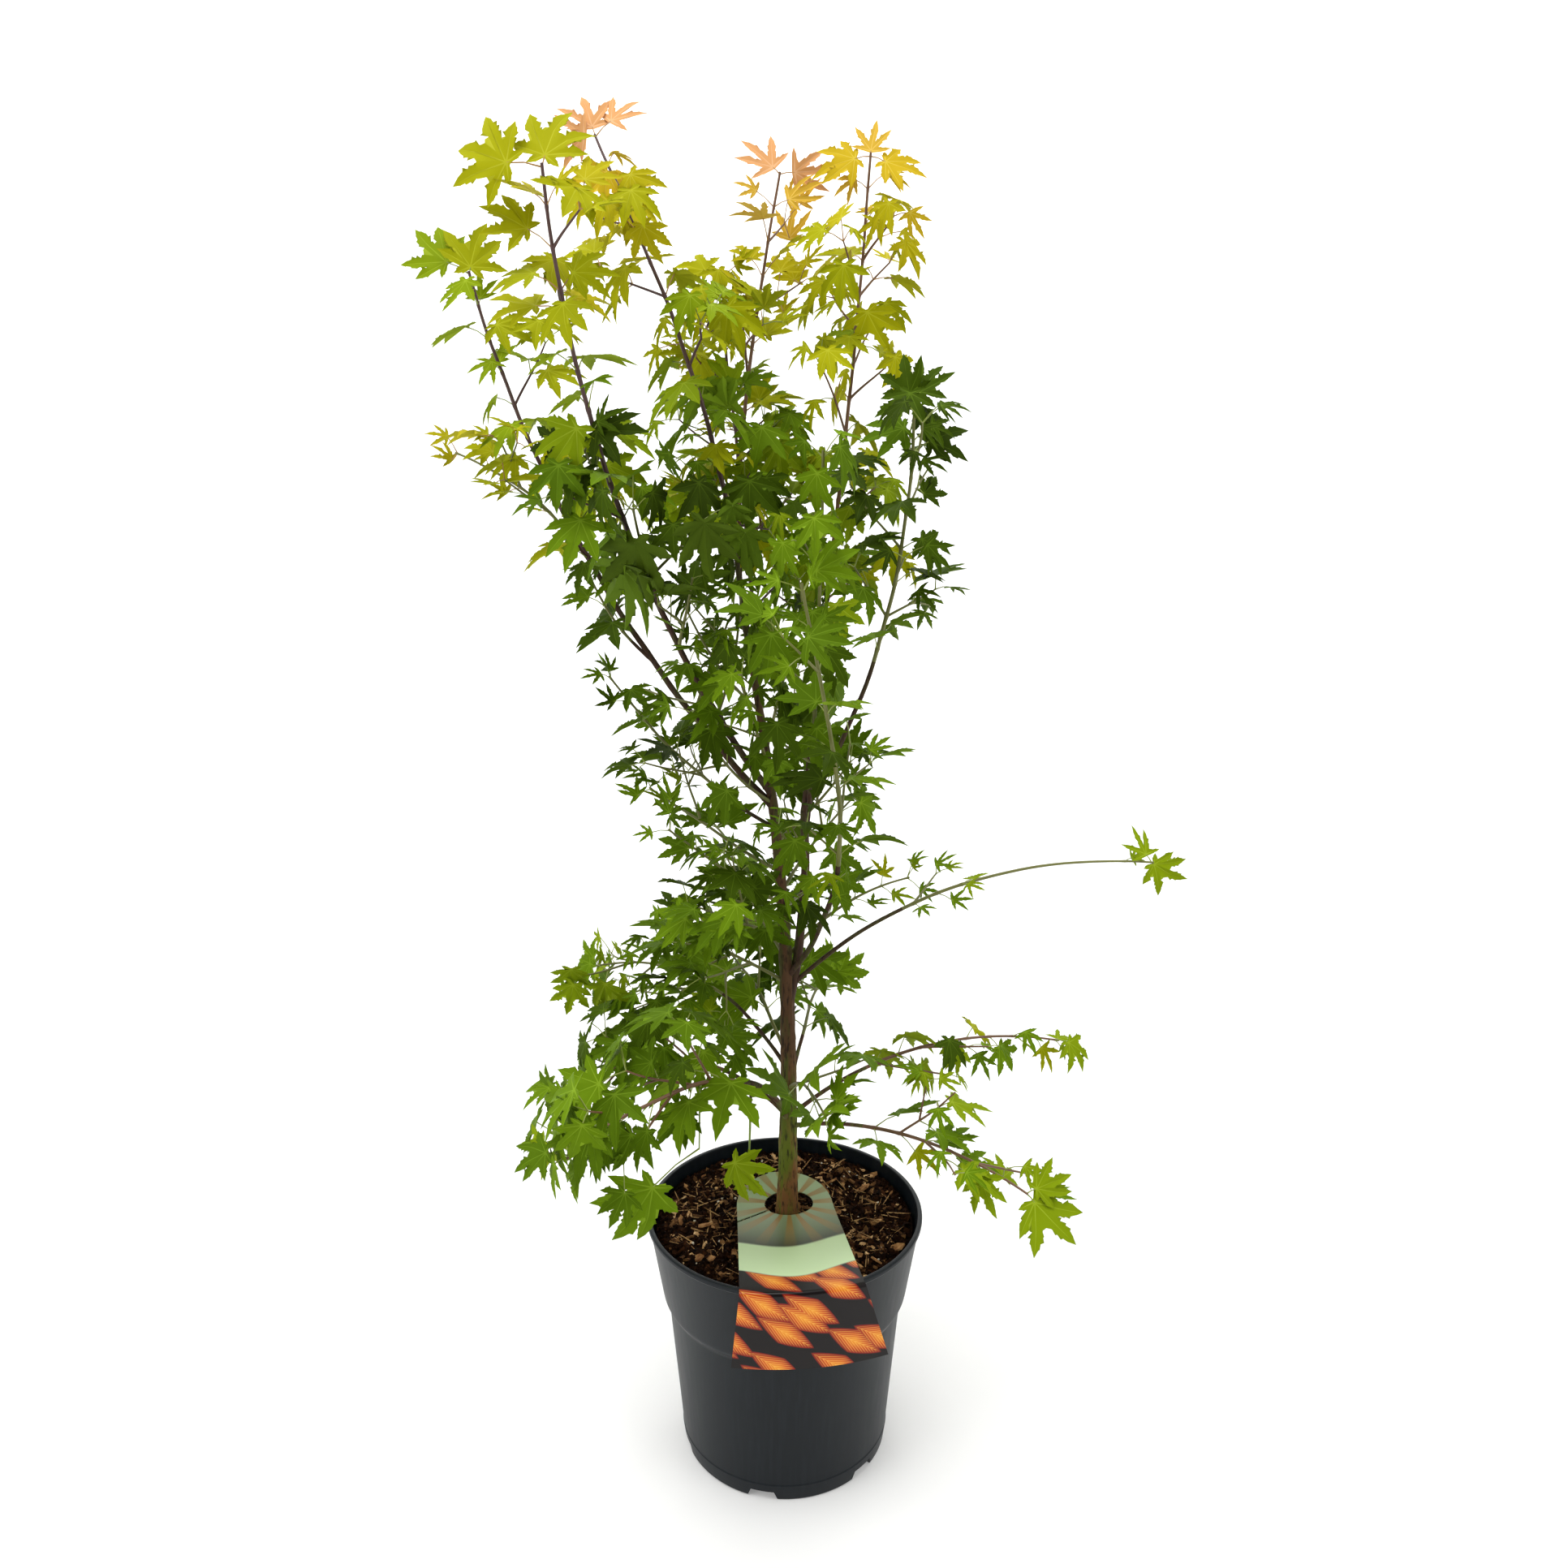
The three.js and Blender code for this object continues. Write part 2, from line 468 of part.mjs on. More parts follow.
// Where one leaf hangs: its stalk leaves the twig at an angle, its blade spreads level, dips and rolls
function leafPlace(draw, dips, line, share, turn, length) {
  const between = ([least, spread]) => least + spread * draw();
  const axis = line.getTangentAt(share);
  const root = line.getPointAt(share);
  const angle = LEAF.stalkAngle + LEAF.stalkAngleSpread * (draw() - 0.5);
  const heading = tilted(axis, turn, radians(angle)).addScaledVector(UP, between(LEAF.lift)).normalize();
  const base = root.clone().addScaledVector(heading, length * between(LEAF.stalkShare));
  const dip = radians(between(dips));
  const flat = new THREE.Vector3(heading.x, heading.y, 0);
  if (flat.lengthSq() < NEARLY_UPRIGHT) flat.set(axis.x, axis.y, 0);
  const out = flat.normalize().multiplyScalar(Math.cos(dip)).addScaledVector(UP, -Math.sin(dip));
  const normal = UP.clone().addScaledVector(out, -UP.dot(out)).normalize();
  normal.applyAxisAngle(out, radians(LEAF.roll * (draw() - 0.5)));
  return { root, base, out, normal, length: length * between(LEAF.sizeShare) };
}

// Whether a leaf's tip stays within its shoot's reach of the stem
function inSpace({ base, out, length }, { curve, shoot }) {
  const tip = base.clone().addScaledVector(out, length);
  const from = (shoot.bare || shoot.start) / shoot.length;
  const samples = Array.from({ length: SPACE.samples + 1 }, (_, index) => curve.getPointAt(
    THREE.MathUtils.lerp(from, 1, index / SPACE.samples)));
  return samples.some((point) => point.distanceTo(tip) < (shoot.reach ?? SPACE.reach));
}

// The foliage of one shoot while it grows: what it holds so far, and what it has to stay clear of
class Foliage {
  constructor(name) {
    this.limb = limbs[name];
    this.shoot = this.limb.shoot;
    this.draw = seeded(this.shoot.seed);
    this.others = standing.filter((entry) => entry !== this.limb.standing);
    this.pieces = [];
    this.own = [];
    this.keep(this.limb.stem);
  }

  keep(solid) {
    this.pieces.push(solid);
    this.own.push({ solid, ...solid.boundingBox() });
  }

  // Tries a leaf, turned aside and made smaller each time, and skips it where none is clear
  addLeaf(line, share, turn, length, dips = this.shoot.dip ?? LEAF.dip) {
    for (let attempt = 0; attempt < SPACE.tries; attempt += 1) {
      const aside = radians(SPACE.turnStep * Math.ceil(attempt / 2) * (attempt % 2 ? 1 : -1));
      const size = length * (1 - SPACE.shrink * attempt);
      const place = leafPlace(this.draw, dips, line, share, turn + aside, size);
      const clear = inSpace(place, this.limb)
        && !touches(leafSolid(place, SPACE.leafGap), this.others)
        && !touches(leafSolid(place, SPACE.bladeGap, false), this.own);
      if (clear) {
        this.keep(leafSolid(place));
        return;
      }
    }
  }

  // A twig with a pair of leaves at each of its joints, left out where it would touch a limb
  addTwig(share, turn) {
    const heading = tilted(this.limb.curve.getTangentAt(share), turn, radians(TWIG.angle));
    const length = TWIG.length[0] + TWIG.length[1] * this.draw();
    const line = bentPath(this.limb.curve.getPointAt(share), {
      azimuth: THREE.MathUtils.radToDeg(Math.atan2(heading.y, heading.x)),
      lean: THREE.MathUtils.radToDeg(Math.acos(heading.z)),
      bend: TWIG.bend[0] + TWIG.bend[1] * this.draw(),
      length,
    });
    const shape = (extra) => limb(line, 0, 1, evenTaper(TWIG.diameters, extra), TWIG.sides, TWIG.rings);
    const turns = this.draw() * Math.PI;
    if (touches(shape(CLEARANCE), this.others)) return;
    this.keep(shape(0));
    const pairs = Math.floor(length / TWIG.leafGap);
    for (let pair = 1; pair <= pairs; pair += 1) {
      const place = Math.min(PAIR.last, pair / pairs);
      for (const opposite of [0, Math.PI]) {
        this.addLeaf(line, place, turns + pair * QUARTER + opposite, this.shoot.leaf * TWIG.leafShare);
      }
    }
  }

  // Pairs of leaves and twigs along the stem, each pair turned a quarter round, and a leaf at the tip
  grow() {
    const { shoot, draw } = this;
    const first = (shoot.bare || shoot.start) + PAIR.inset;
    const run = shoot.length - first;
    const joints = Math.max(2, Math.round(run / (shoot.gap * PAIR.gapShare)));
    const [baldFrom, baldTo] = shoot.bald ?? [1, 1];
    for (let joint = 0; joint <= joints; joint += 1) {
      const share = Math.min(PAIR.last, (first + (joint / joints) * run) / shoot.length);
      const turn = joint * QUARTER + PAIR.jitter * (draw() - 0.5);
      for (const opposite of [0, Math.PI]) {
        const onTwig = draw() < (shoot.twigs ?? TWIG.share) && joint < joints;
        if (share > baldFrom && share < baldTo) continue;
        if (onTwig) this.addTwig(share, turn + opposite);
        else this.addLeaf(this.limb.curve, share, turn + opposite, shoot.leaf);
      }
    }
    this.addLeaf(this.limb.curve, PAIR.last, draw() * Math.PI, shoot.leaf, shoot.tipDip ?? LEAF.tipDip);
    return mainBody(wasm.Manifold.union(this.pieces));
  }
}

function buildFoliage(name) {
  const mass = new Foliage(name).grow();
  standing.splice(standing.indexOf(limbs[name].standing), 1);
  stand(mass);
  addNode(`leaves_${name}`, mass, finish.leaf);
}

buildPot();
buildSoil();
buildLabel();
buildTrunk();
for (const [name, shoot] of Object.entries(SHOOTS)) buildLimbs(name, shoot);
for (const name of Object.keys(SHOOTS)) {
  if (limbs[name].stem) buildFoliage(name);
}

export default plant;
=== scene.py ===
"""A young Japanese maple in a nursery pot, with bark compost and a plain plant label.

The plant is grown here by the same rule as its solids, and carried on to finer twigs and more leaves.
Sizes are in millimetres, and become metres where a mesh is made.
"""
import json
import logging
import math
import random
from dataclasses import dataclass
from enum import Enum

import bmesh
import bpy
import numpy as np
from bpy.types import Material, Node, NodeSocket, NodeTree, Object
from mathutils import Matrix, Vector

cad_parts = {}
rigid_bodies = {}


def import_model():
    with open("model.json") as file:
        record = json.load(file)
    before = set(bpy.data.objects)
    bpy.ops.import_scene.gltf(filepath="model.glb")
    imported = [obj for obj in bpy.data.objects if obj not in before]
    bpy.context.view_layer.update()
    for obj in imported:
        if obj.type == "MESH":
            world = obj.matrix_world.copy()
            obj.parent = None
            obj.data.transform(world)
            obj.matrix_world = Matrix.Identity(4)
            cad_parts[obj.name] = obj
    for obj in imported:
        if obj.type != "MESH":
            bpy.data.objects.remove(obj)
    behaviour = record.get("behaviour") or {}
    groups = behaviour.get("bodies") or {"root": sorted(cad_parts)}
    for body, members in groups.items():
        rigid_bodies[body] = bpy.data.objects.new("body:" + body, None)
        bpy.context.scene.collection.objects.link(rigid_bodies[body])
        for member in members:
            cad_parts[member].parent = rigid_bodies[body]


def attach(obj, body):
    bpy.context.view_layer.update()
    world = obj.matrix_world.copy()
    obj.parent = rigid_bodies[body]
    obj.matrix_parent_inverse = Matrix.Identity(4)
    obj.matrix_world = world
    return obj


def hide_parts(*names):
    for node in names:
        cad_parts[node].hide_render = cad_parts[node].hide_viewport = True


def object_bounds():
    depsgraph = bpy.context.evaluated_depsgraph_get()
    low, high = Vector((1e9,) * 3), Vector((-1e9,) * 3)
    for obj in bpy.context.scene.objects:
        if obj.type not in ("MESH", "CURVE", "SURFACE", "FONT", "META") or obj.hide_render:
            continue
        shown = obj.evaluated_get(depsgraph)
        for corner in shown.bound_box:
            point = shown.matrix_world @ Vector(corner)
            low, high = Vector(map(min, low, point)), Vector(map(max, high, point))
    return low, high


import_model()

CAD_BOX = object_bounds()
Pair = tuple[float, float]
Triple = tuple[float, float, float]
MM = 0.001
BODY = "root"
SQUARE_CM_PER_M = 1e4
LEAF_SHAPES = 1 << 30
# Directions of the plant: up, what is level, and the way to the light, which comes from the viewer's side
UP = np.array((0.0, 0.0, 1.0))
LEVEL = np.array((1.0, 1.0, 0.0))
LIGHT = np.array((0.0, -1.0, 0.0))
log = logging.getLogger("maple")


def linear(code: str) -> tuple[float, float, float, float]:
    """Turns an sRGB hex colour to linear light.

    Args:
        code: the colour as six hex digits after a hash sign.

    Returns:
        Red, green, blue and an alpha of one.
    """
    parts = (int(code[place:place + 2], 16) / 255 for place in (1, 3, 5))
    levels = (p / 12.92 if p <= 0.04045 else ((p + 0.055) / 1.055) ** 2.4 for p in parts)
    return (*levels, 1.0)


def add_node(tree: NodeTree, kind: str, inputs: dict | None = None, **settings) -> Node:
    """Adds a node to a tree, with its settings and its links.

    Args:
        tree: a shader or geometry tree.
        kind: the node's type name.
        inputs: for sockets by name or number, a value, the output that feeds them, or a node whose first
            output does.
        settings: the node's own properties.

    Returns:
        The new node.
    """
    node = tree.nodes.new(kind)
    for name, value in settings.items():
        setattr(node, name, value)
    for socket, value in (inputs or {}).items():
        value = value.outputs[0] if isinstance(value, Node) else value
        if isinstance(value, NodeSocket):
            tree.links.new(value, node.inputs[socket])
        else:
            node.inputs[socket].default_value = value
    return node


def new_material(name: str, **shader_values) -> tuple[Material, NodeTree, Node]:
    """Makes a material with one Principled shader.

    Args:
        name: what the material really is.
        shader_values: constants for the shader, with underscores for the spaces in socket names.

    Returns:
        The material, its tree and its shader node.
    """
    material = bpy.data.materials.new(name)
    material.use_nodes = True
    tree = material.node_tree
    tree.nodes.clear()
    values = {socket.replace("_", " "): value for socket, value in shader_values.items()}
    shader = add_node(tree, "ShaderNodeBsdfPrincipled", values)
    add_node(tree, "ShaderNodeOutputMaterial", {"Surface": shader})
    return material, tree, shader


@dataclass(frozen=True)
class MouldedPolypropylene:
    """Carbon-filled polypropylene, injection moulded: dark grey and satin, with soft lighter drag lines."""

    colour: str = "#0d1318"
    rubbed: str = "#20262b"
    roughness: Pair = (0.35, 0.5)
    line_mm: float = 3.2
    grain_mm: float = 0.9

    def make(self) -> Material:
        """Makes the material. Its upright lines are stretched noise, and its grain is a fine bump.

        Returns:
            The material.
        """
        material, tree, shader = new_material("moulded_polypropylene", IOR=1.49, Specular_IOR_Level=0.2)
        place = add_node(tree, "ShaderNodeTexCoord").outputs["Object"]
        upright = add_node(tree, "ShaderNodeMapping", {"Vector": place, "Scale": (1, 1, 0.04)})
        lines = add_node(tree, "ShaderNodeTexNoise", {
            "Vector": upright, "Scale": 1 / (self.line_mm * MM), "Detail": 3.0})
        grain = add_node(tree, "ShaderNodeTexNoise", {"Vector": place, "Scale": 1 / (self.grain_mm * MM)})
        share = add_node(tree, "ShaderNodeMapRange", {
            "Value": lines, "From Min": 0.45, "From Max": 0.85, "To Max": 0.4})
        tone = add_node(tree, "ShaderNodeMix", {
            "Factor": share, 6: linear(self.colour), 7: linear(self.rubbed)}, data_type="RGBA")
        gloss = add_node(tree, "ShaderNodeMapRange", {
            "Value": lines, "To Min": self.roughness[0], "To Max": self.roughness[1]})
        relief = add_node(tree, "ShaderNodeBump", {"Height": grain, "Strength": 0.12, "Distance": 0.1 * MM})
        tree.links.new(tone.outputs[2], shader.inputs["Base Color"])
        tree.links.new(gloss.outputs["Result"], shader.inputs["Roughness"])
        tree.links.new(relief.outputs["Normal"], shader.inputs["Normal"])
        return material


@dataclass(frozen=True)
class CompostedBark:
    """Moist composted bark: nearly black brown crumbs, matt, with paler ones among them."""

    dark: str = "#090301"
    pale: str = "#2a1406"
    crumb_mm: float = 4.0

    def make(self) -> Material:
        """Makes the material, mottled in crumbs of the size of the real ones.

        Returns:
            The material.
        """
        material, tree, shader = new_material("composted_bark", Roughness=0.92, Specular_IOR_Level=0.04)
        place = add_node(tree, "ShaderNodeTexCoord").outputs["Object"]
        crumbs = add_node(tree, "ShaderNodeTexNoise", {
            "Vector": place, "Scale": 1 / (self.crumb_mm * MM), "Detail": 5.0, "Roughness": 0.7})
        share = add_node(tree, "ShaderNodeMapRange", {"Value": crumbs, "From Min": 0.45, "From Max": 0.75})
        tone = add_node(tree, "ShaderNodeMix", {
            "Factor": share, 6: linear(self.dark), 7: linear(self.pale)}, data_type="RGBA")
        relief = add_node(tree, "ShaderNodeBump", {"Height": crumbs, "Strength": 0.8, "Distance": 1.5 * MM})
        tree.links.new(tone.outputs[2], shader.inputs["Base Color"])
        tree.links.new(relief.outputs["Normal"], shader.inputs["Normal"])
        return material


@dataclass(frozen=True)
class BarkChip:
    """A shred of bark or wood from the compost: dull, with its own brown."""

    name: str
    dark: str
    pale: str
    roughness: float = 0.85
    patch_mm: float = 4.8

    def make(self) -> Material:
        """Makes the material, with a change of brown from chip to chip.

        Returns:
            The material.
        """
        material, tree, shader = new_material(self.name, Roughness=self.roughness, Specular_IOR_Level=0.05)
        place = add_node(tree, "ShaderNodeTexCoord").outputs["Object"]
        patches = add_node(tree, "ShaderNodeTexNoise", {"Vector": place, "Scale": 1 / (self.patch_mm * MM)})
        share = add_node(tree, "ShaderNodeMapRange", {"Value": patches, "From Min": 0.35, "From Max": 0.65})
        tone = add_node(tree, "ShaderNodeMix", {
            "Factor": share, 6: linear(self.dark), 7: linear(self.pale)}, data_type="RGBA")
        tree.links.new(tone.outputs[2], shader.inputs["Base Color"])
        return material


@dataclass(frozen=True)
class MapleBark:
    """Young maple bark: brown with olive patches at the foot, finely fissured all over, with painted shade of
    the foliage that darkens it higher up.
    """

    name: str
    brown: str
    olive: str
    fissure: str
    olive_levels: Pair
    strand_mm: float = 1.8
    patch_mm: float = 8.0
    # The upper colour is painted shade of the foliage, which takes over the bark between the two heights of
    # darkens_mm
    upper: str = "#33241a"
    shade_share: float = 0.72
    darkens_mm: Pair = (225.0, 300.0)

    def make(self) -> Material:
        """Makes the material: patches of brown and olive, painted shade of the foliage higher up, and dark
        strands up the stem.

        Returns:
            The material.
        """
        material, tree, shader = new_material(self.name, Roughness=0.72, Specular_IOR_Level=0.2)
        place = add_node(tree, "ShaderNodeTexCoord").outputs["Object"]
        drawn_out = add_node(tree, "ShaderNodeMapping", {"Vector": place, "Scale": (1, 1, 0.18)})
        patches = add_node(tree, "ShaderNodeTexNoise", {
            "Vector": drawn_out, "Scale": 1 / (self.patch_mm * MM), "Detail": 4.0})
        olive = add_node(tree, "ShaderNodeMapRange", {
            "Value": patches, "From Min": self.olive_levels[0], "From Max": self.olive_levels[1]})
        ground = add_node(tree, "ShaderNodeMix", {
            "Factor": olive, 6: linear(self.brown), 7: linear(self.olive)}, data_type="RGBA")
        along = add_node(tree, "ShaderNodeMapping", {"Vector": place, "Scale": (1, 1, 0.22)})
        strands = add_node(tree, "ShaderNodeTexNoise", {
            "Vector": along, "Scale": 1 / (self.strand_mm * MM), "Detail": 4.0})
        # Painted shade: higher up, where the foliage shades the wood, the bark is mixed towards a dark brown
        height = add_node(tree, "ShaderNodeSeparateXYZ", {"Vector": place})
        foliage_shade = add_node(tree, "ShaderNodeMapRange", {
            "Value": height.outputs["Z"], "From Min": self.darkens_mm[0] * MM,
            "From Max": self.darkens_mm[1] * MM, "To Max": self.shade_share})
        shaded_ground = add_node(tree, "ShaderNodeMix", {
            "Factor": foliage_shade, 6: ground.outputs[2], 7: linear(self.upper)}, data_type="RGBA")
        split = add_node(tree, "ShaderNodeMapRange", {
            "Value": strands, "From Min": 0.53, "From Max": 0.66, "To Max": 0.85})
        tone = add_node(tree, "ShaderNodeMix", {
            "Factor": split, 6: shaded_ground.outputs[2], 7: linear(self.fissure)}, data_type="RGBA")
        relief = add_node(tree, "ShaderNodeBump", {
            "Height": strands, "Strength": 0.7, "Distance": -0.5 * MM})
        tree.links.new(tone.outputs[2], shader.inputs["Base Color"])
        tree.links.new(relief.outputs["Normal"], shader.inputs["Normal"])
        return material


class TwigBark(Enum):
    """Green to purple bark of the thin stems, too smooth to show any grain: one plain colour each."""

    PURPLE = "#4a2f2c"
    RUSSET = "#6a4a30"
    OLIVE = "#66682e"
    GREEN = "#7a8f3a"

    def make(self) -> Material:
        """Makes the material, with the faint wax of a young stem."""
        colour = linear(self.value)
        return new_material(f"young_bark_{self.name.lower()}", Base_Color=colour, Roughness=0.5)[0]


class LeafTint(Enum):
    """The colours of the leaves, from the oldest to the youngest, as upper side and paler rib."""

    DEEP = ("#2d3d04", "#3f510e")
    BOTTLE = ("#3b4f06", "#4f6613")
    MID = ("#4e6808", "#64801a")
    FRESH = ("#5e7a0a", "#76921e")
    GRASS = ("#788c0a", "#8c9f22")
    LIME = ("#909406", "#a0a41c")
    YELLOW_LIME = ("#9c9c08", "#aaaa22")
    GOLD_LIME = ("#aaa00f", "#b6ae2a")
    GOLD = ("#bca01c", "#c8b03c")
    AMBER = ("#c8a236", "#d4b252")
    APRICOT = ("#ce9448", "#d8a664")
    PEACH = ("#d29a64", "#dcac7e")

    def make(self) -> list[Material]:
        """Makes the blade's own material and the paler one of its ribs and its underside.

        A maple leaf is thin-skinned and nearly matt, so its sheen is kept faint.
        """
        return [new_material(f"leaf_{side}_{self.name.lower()}", Base_Color=linear(colour), Roughness=0.65,
                             Specular_IOR_Level=0.04)[0]
                for side, colour in zip(("blade", "rib"), self.value)]


class StalkTint(Enum):
    """Leaf stalks: pale green in the shade, flushed pink in the light."""

    PALE = "#7f8c34"
    PINK = "#a07a44"

    def make(self) -> Material:
        """Makes the material, with the slight gloss of a soft stalk."""
        colour = linear(self.value)
        return new_material(f"leaf_stalk_{self.name.lower()}", Base_Color=colour, Roughness=0.45)[0]


def add_piece(name: str, vertices: np.ndarray, faces: list, materials: list[Material],
              slots: list[int] | None = None, edges: list | None = None) -> Object:
    """Makes a mesh object at the origin from vertices in millimetres.

    Args:
        name: the object's name.
        vertices: one row of x, y, z for each vertex, in millimetres.
        faces: tuples of vertex numbers, anticlockwise from outside.
        materials: the object's materials.
        slots: the material number of each face.
        edges: pairs of vertex numbers, for a mesh of wires.

    Returns:
        The new object, linked to the scene.
    """
    mesh = bpy.data.meshes.new(name)
    mesh.from_pydata((np.asarray(vertices) * MM).tolist(), edges or [], faces)
    for material in materials:
        mesh.materials.append(material)
    if slots is not None:
        mesh.polygons.foreach_set("material_index", slots)
    mesh.update()
    piece = bpy.data.objects.new(name, mesh)
    bpy.context.scene.collection.objects.link(piece)
    return piece


def smooth(piece: Object, crease_degrees: float = 40.0) -> None:
    """Shades a piece smooth, but for edges sharper than a crease angle."""
    piece.data.shade_smooth()
    piece.data.set_sharp_from_angle(angle=math.radians(crease_degrees))


def seat(piece: Object, nodes: list[str]) -> None:
    """Hangs a piece on the body, in place of the nodes that it stands for.

    Args:
        piece: the finished object.
        nodes: names of the solids that it replaces.
    """
    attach(piece, BODY)
    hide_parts(*nodes)
    log.info("%s: %d faces", piece.name, len(piece.data.polygons))


def baked(piece: Object) -> Object:
    """Applies a piece's modifiers to its mesh and takes them off.

    Args:
        piece: the object with live modifiers.

    Returns:
        The same object, with a plain mesh.
    """
    graph = bpy.context.evaluated_depsgraph_get()
    mesh = bpy.data.meshes.new_from_object(piece.evaluated_get(graph), depsgraph=graph)
    piece.modifiers.clear()
    piece.data = mesh
    return piece


class GeometryTool:
    """A Geometry Nodes tree with named inputs that is run once on a piece."""

    def __init__(self, name: str, inputs: dict[str, str]) -> None:
        """Starts the tree.

        Args:
            name: the tree's name.
            inputs: what each named input holds, such as a Float.
        """
        self.name = name
        self.tree = bpy.data.node_groups.new(name, "GeometryNodeTree")
        self.tree.interface.new_socket("Geometry", in_out="INPUT", socket_type="NodeSocketGeometry")
        self.tree.interface.new_socket("Geometry", in_out="OUTPUT", socket_type="NodeSocketGeometry")
        for label, kind in inputs.items():
            self.tree.interface.new_socket(label, in_out="INPUT", socket_type=f"NodeSocket{kind}")
        self.given = add_node(self.tree, "NodeGroupInput").outputs

    def add(self, kind: str, inputs: dict | None = None, **settings) -> Node:
        """Adds a node to this tree."""
        return add_node(self.tree, kind, inputs, **settings)

    def close(self, geometry: NodeSocket) -> None:
        """Ends the tree: its instances are realized and it gets its material.

        Args:
            geometry: the socket that holds the made shape.
        """
        real = self.add("GeometryNodeRealizeInstances", {"Geometry": geometry})
        dressed = self.add("GeometryNodeSetMaterial", {"Geometry": real, "Material": self.given["Material"]})
        self.add("NodeGroupOutput", {"Geometry": dressed})

    def run(self, piece: Object, values: dict) -> Object:
        """Runs the tree on a piece and keeps the result as its plain mesh.

        Args:
            piece: the object that the tree starts from.
            values: a value for each named input.

        Returns:
            The same object, with its new mesh.
        """
        modifier = piece.modifiers.new(self.name, "NODES")
        modifier.node_group = self.tree
        for item in self.tree.interface.items_tree:
            if item.in_out == "INPUT" and item.name in values:
                modifier[item.identifier] = values[item.name]
        return baked(piece)


# Growth: the same rule as the solids', in millimetres


def unit(vector: np.ndarray) -> np.ndarray:
    """Scales a vector to length one."""
    return vector / np.linalg.norm(vector)


def rotated(vector: np.ndarray, axis: np.ndarray, angle: float) -> np.ndarray:
    """Turns a vector round a unit axis.

    Args:
        vector: what is turned.
        axis: a unit vector.
        angle: in radians.

    Returns:
        The turned vector.
    """
    across, along = np.cross(axis, vector), axis * (axis @ vector)
    return vector * math.cos(angle) + across * math.sin(angle) + along * (1 - math.cos(angle))


class Path:
    """A run through space that is read by the share of its length."""

    def __init__(self, points: np.ndarray) -> None:
        """Keeps the points and measures the way along them."""
        self.points = points
        self.along = np.concatenate(([0.0], np.cumsum(np.linalg.norm(np.diff(points, axis=0), axis=1))))
        self.length = float(self.along[-1])

    def point(self, share: float) -> np.ndarray:
        """Gives the point at a share of the length."""
        return np.array([np.interp(share * self.length, self.along, axis) for axis in self.points.T])

    def tangent(self, share: float) -> np.ndarray:
        """Gives the unit direction at a share of the length."""
        step = min(max(int(np.searchsorted(self.along, share * self.length)) - 1, 0), len(self.points) - 2)
        return unit(self.points[step + 1] - self.points[step])


@dataclass(frozen=True)
class Course:
    """How a limb runs, in degrees and millimetres.

    It starts out by azimuth and lean, its bend and swing are what they change by up to its end, a power
    over one keeps the bend for its upper part, and it sways by so many degrees over each wave.
    """

    azimuth: float
    lean: float
    length: float
    bend: float = 0.0
    swing: float = 0.0
    power: float = 1.0
    sway: float = 0.0
    step: float = 3.0
    wave: float = 64.0

    def path(self, start: np.ndarray) -> Path:
        """Follows the course from a start point.

        Args:
            start: where it begins.

        Returns:
            The path, which winds a little from side to side where the course has sway.
        """
        steps = max(4, round(self.length / self.step))
        share = (np.arange(steps) + 0.5) / steps
        winding = self.sway * np.sin(share * self.length / self.wave * 2 * math.pi)
        azimuth = np.radians(self.azimuth + self.swing * share + 2 * winding)
        lean = np.radians(self.lean + self.bend * share ** self.power + winding)
        heading = np.stack(
            (np.sin(lean) * np.cos(azimuth), np.sin(lean) * np.sin(azimuth), np.cos(lean)), axis=1)
        run = np.cumsum(heading * (self.length / steps), axis=0)
        return Path(np.vstack((start, start + run)))


@dataclass(frozen=True)
class TipLeaf:
    """A leaf at a shoot's tip as it shows from the front, with its ways in degrees clockwise from upright."""

    degrees: float
    length: float
    stalk: float = 7.0
    stalk_degrees: float | None = None
    facing: Triple = (0.0, -0.9, 0.4)
    roll: float = 50.0

    def leaf(self, root: np.ndarray, tone: float, draw: random.Random) -> "Leaf":
        """Makes the leaf.

        Args:
            root: the shoot's tip.
            tone: the leaf's place among the tints.
            draw: for its roll and its shape.

        Returns:
            The leaf.
        """
        front = unit(np.array(self.facing))
        upright = unit(UP - front * (UP @ front))
        turns = (self.degrees, self.degrees if self.stalk_degrees is None else self.stalk_degrees)
        out, heading = (upright * math.cos(turn) + np.cross(front, upright) * -math.sin(turn)
                        for turn in map(math.radians, turns))
        normal = rotated(front, out, math.radians(self.roll * (draw.random() - 0.5)))
        return Leaf(root, root + heading * self.stalk, out, normal, self.length, tone,
                    draw.randrange(LEAF_SHAPES))


@dataclass(frozen=True)
class Shoot:
    """One shoot: where it leaves its parent, how it runs, and what grows on it.

    Its bare foot is a bough, and one without has leaves from its start on. Leaf is a full leaf's length,
    gap lies between two pairs, and reach is how far a leaf's tip may be from the stem. Dip, in degrees, and
    tones, as places among the leaf tints, are for its lowest and highest spray. Sweep points leaves on
    along the stem, and facing turns hanging ones to the light. Twigs is the share of the leaves' places
    that carry a twig, and bald a stretch without leaves.
    """

    parent: str
    at: float
    azimuth: float
    lean: float
    length: float
    bend: float = 0.0
    swing: float = 0.0
    bare: float = 0.0
    start: float = 0.0
    diameters: Pair = (2.5, 1.3)
    leaf: float = 0.0
    gap: float = 26.0
    reach: float = 64.0
    dip: Pair = (8.0, 8.0)
    sweep: float = 0.0
    facing: float = 0.8
    tones: Pair = (2.0, 2.0)
    ripening: float = 1.2
    twigs: float = 0.36
    bald: Pair = (1.0, 1.0)
    fan: tuple[TipLeaf, ...] = ()
    bark: TwigBark = TwigBark.OLIVE
    seed: int = 0


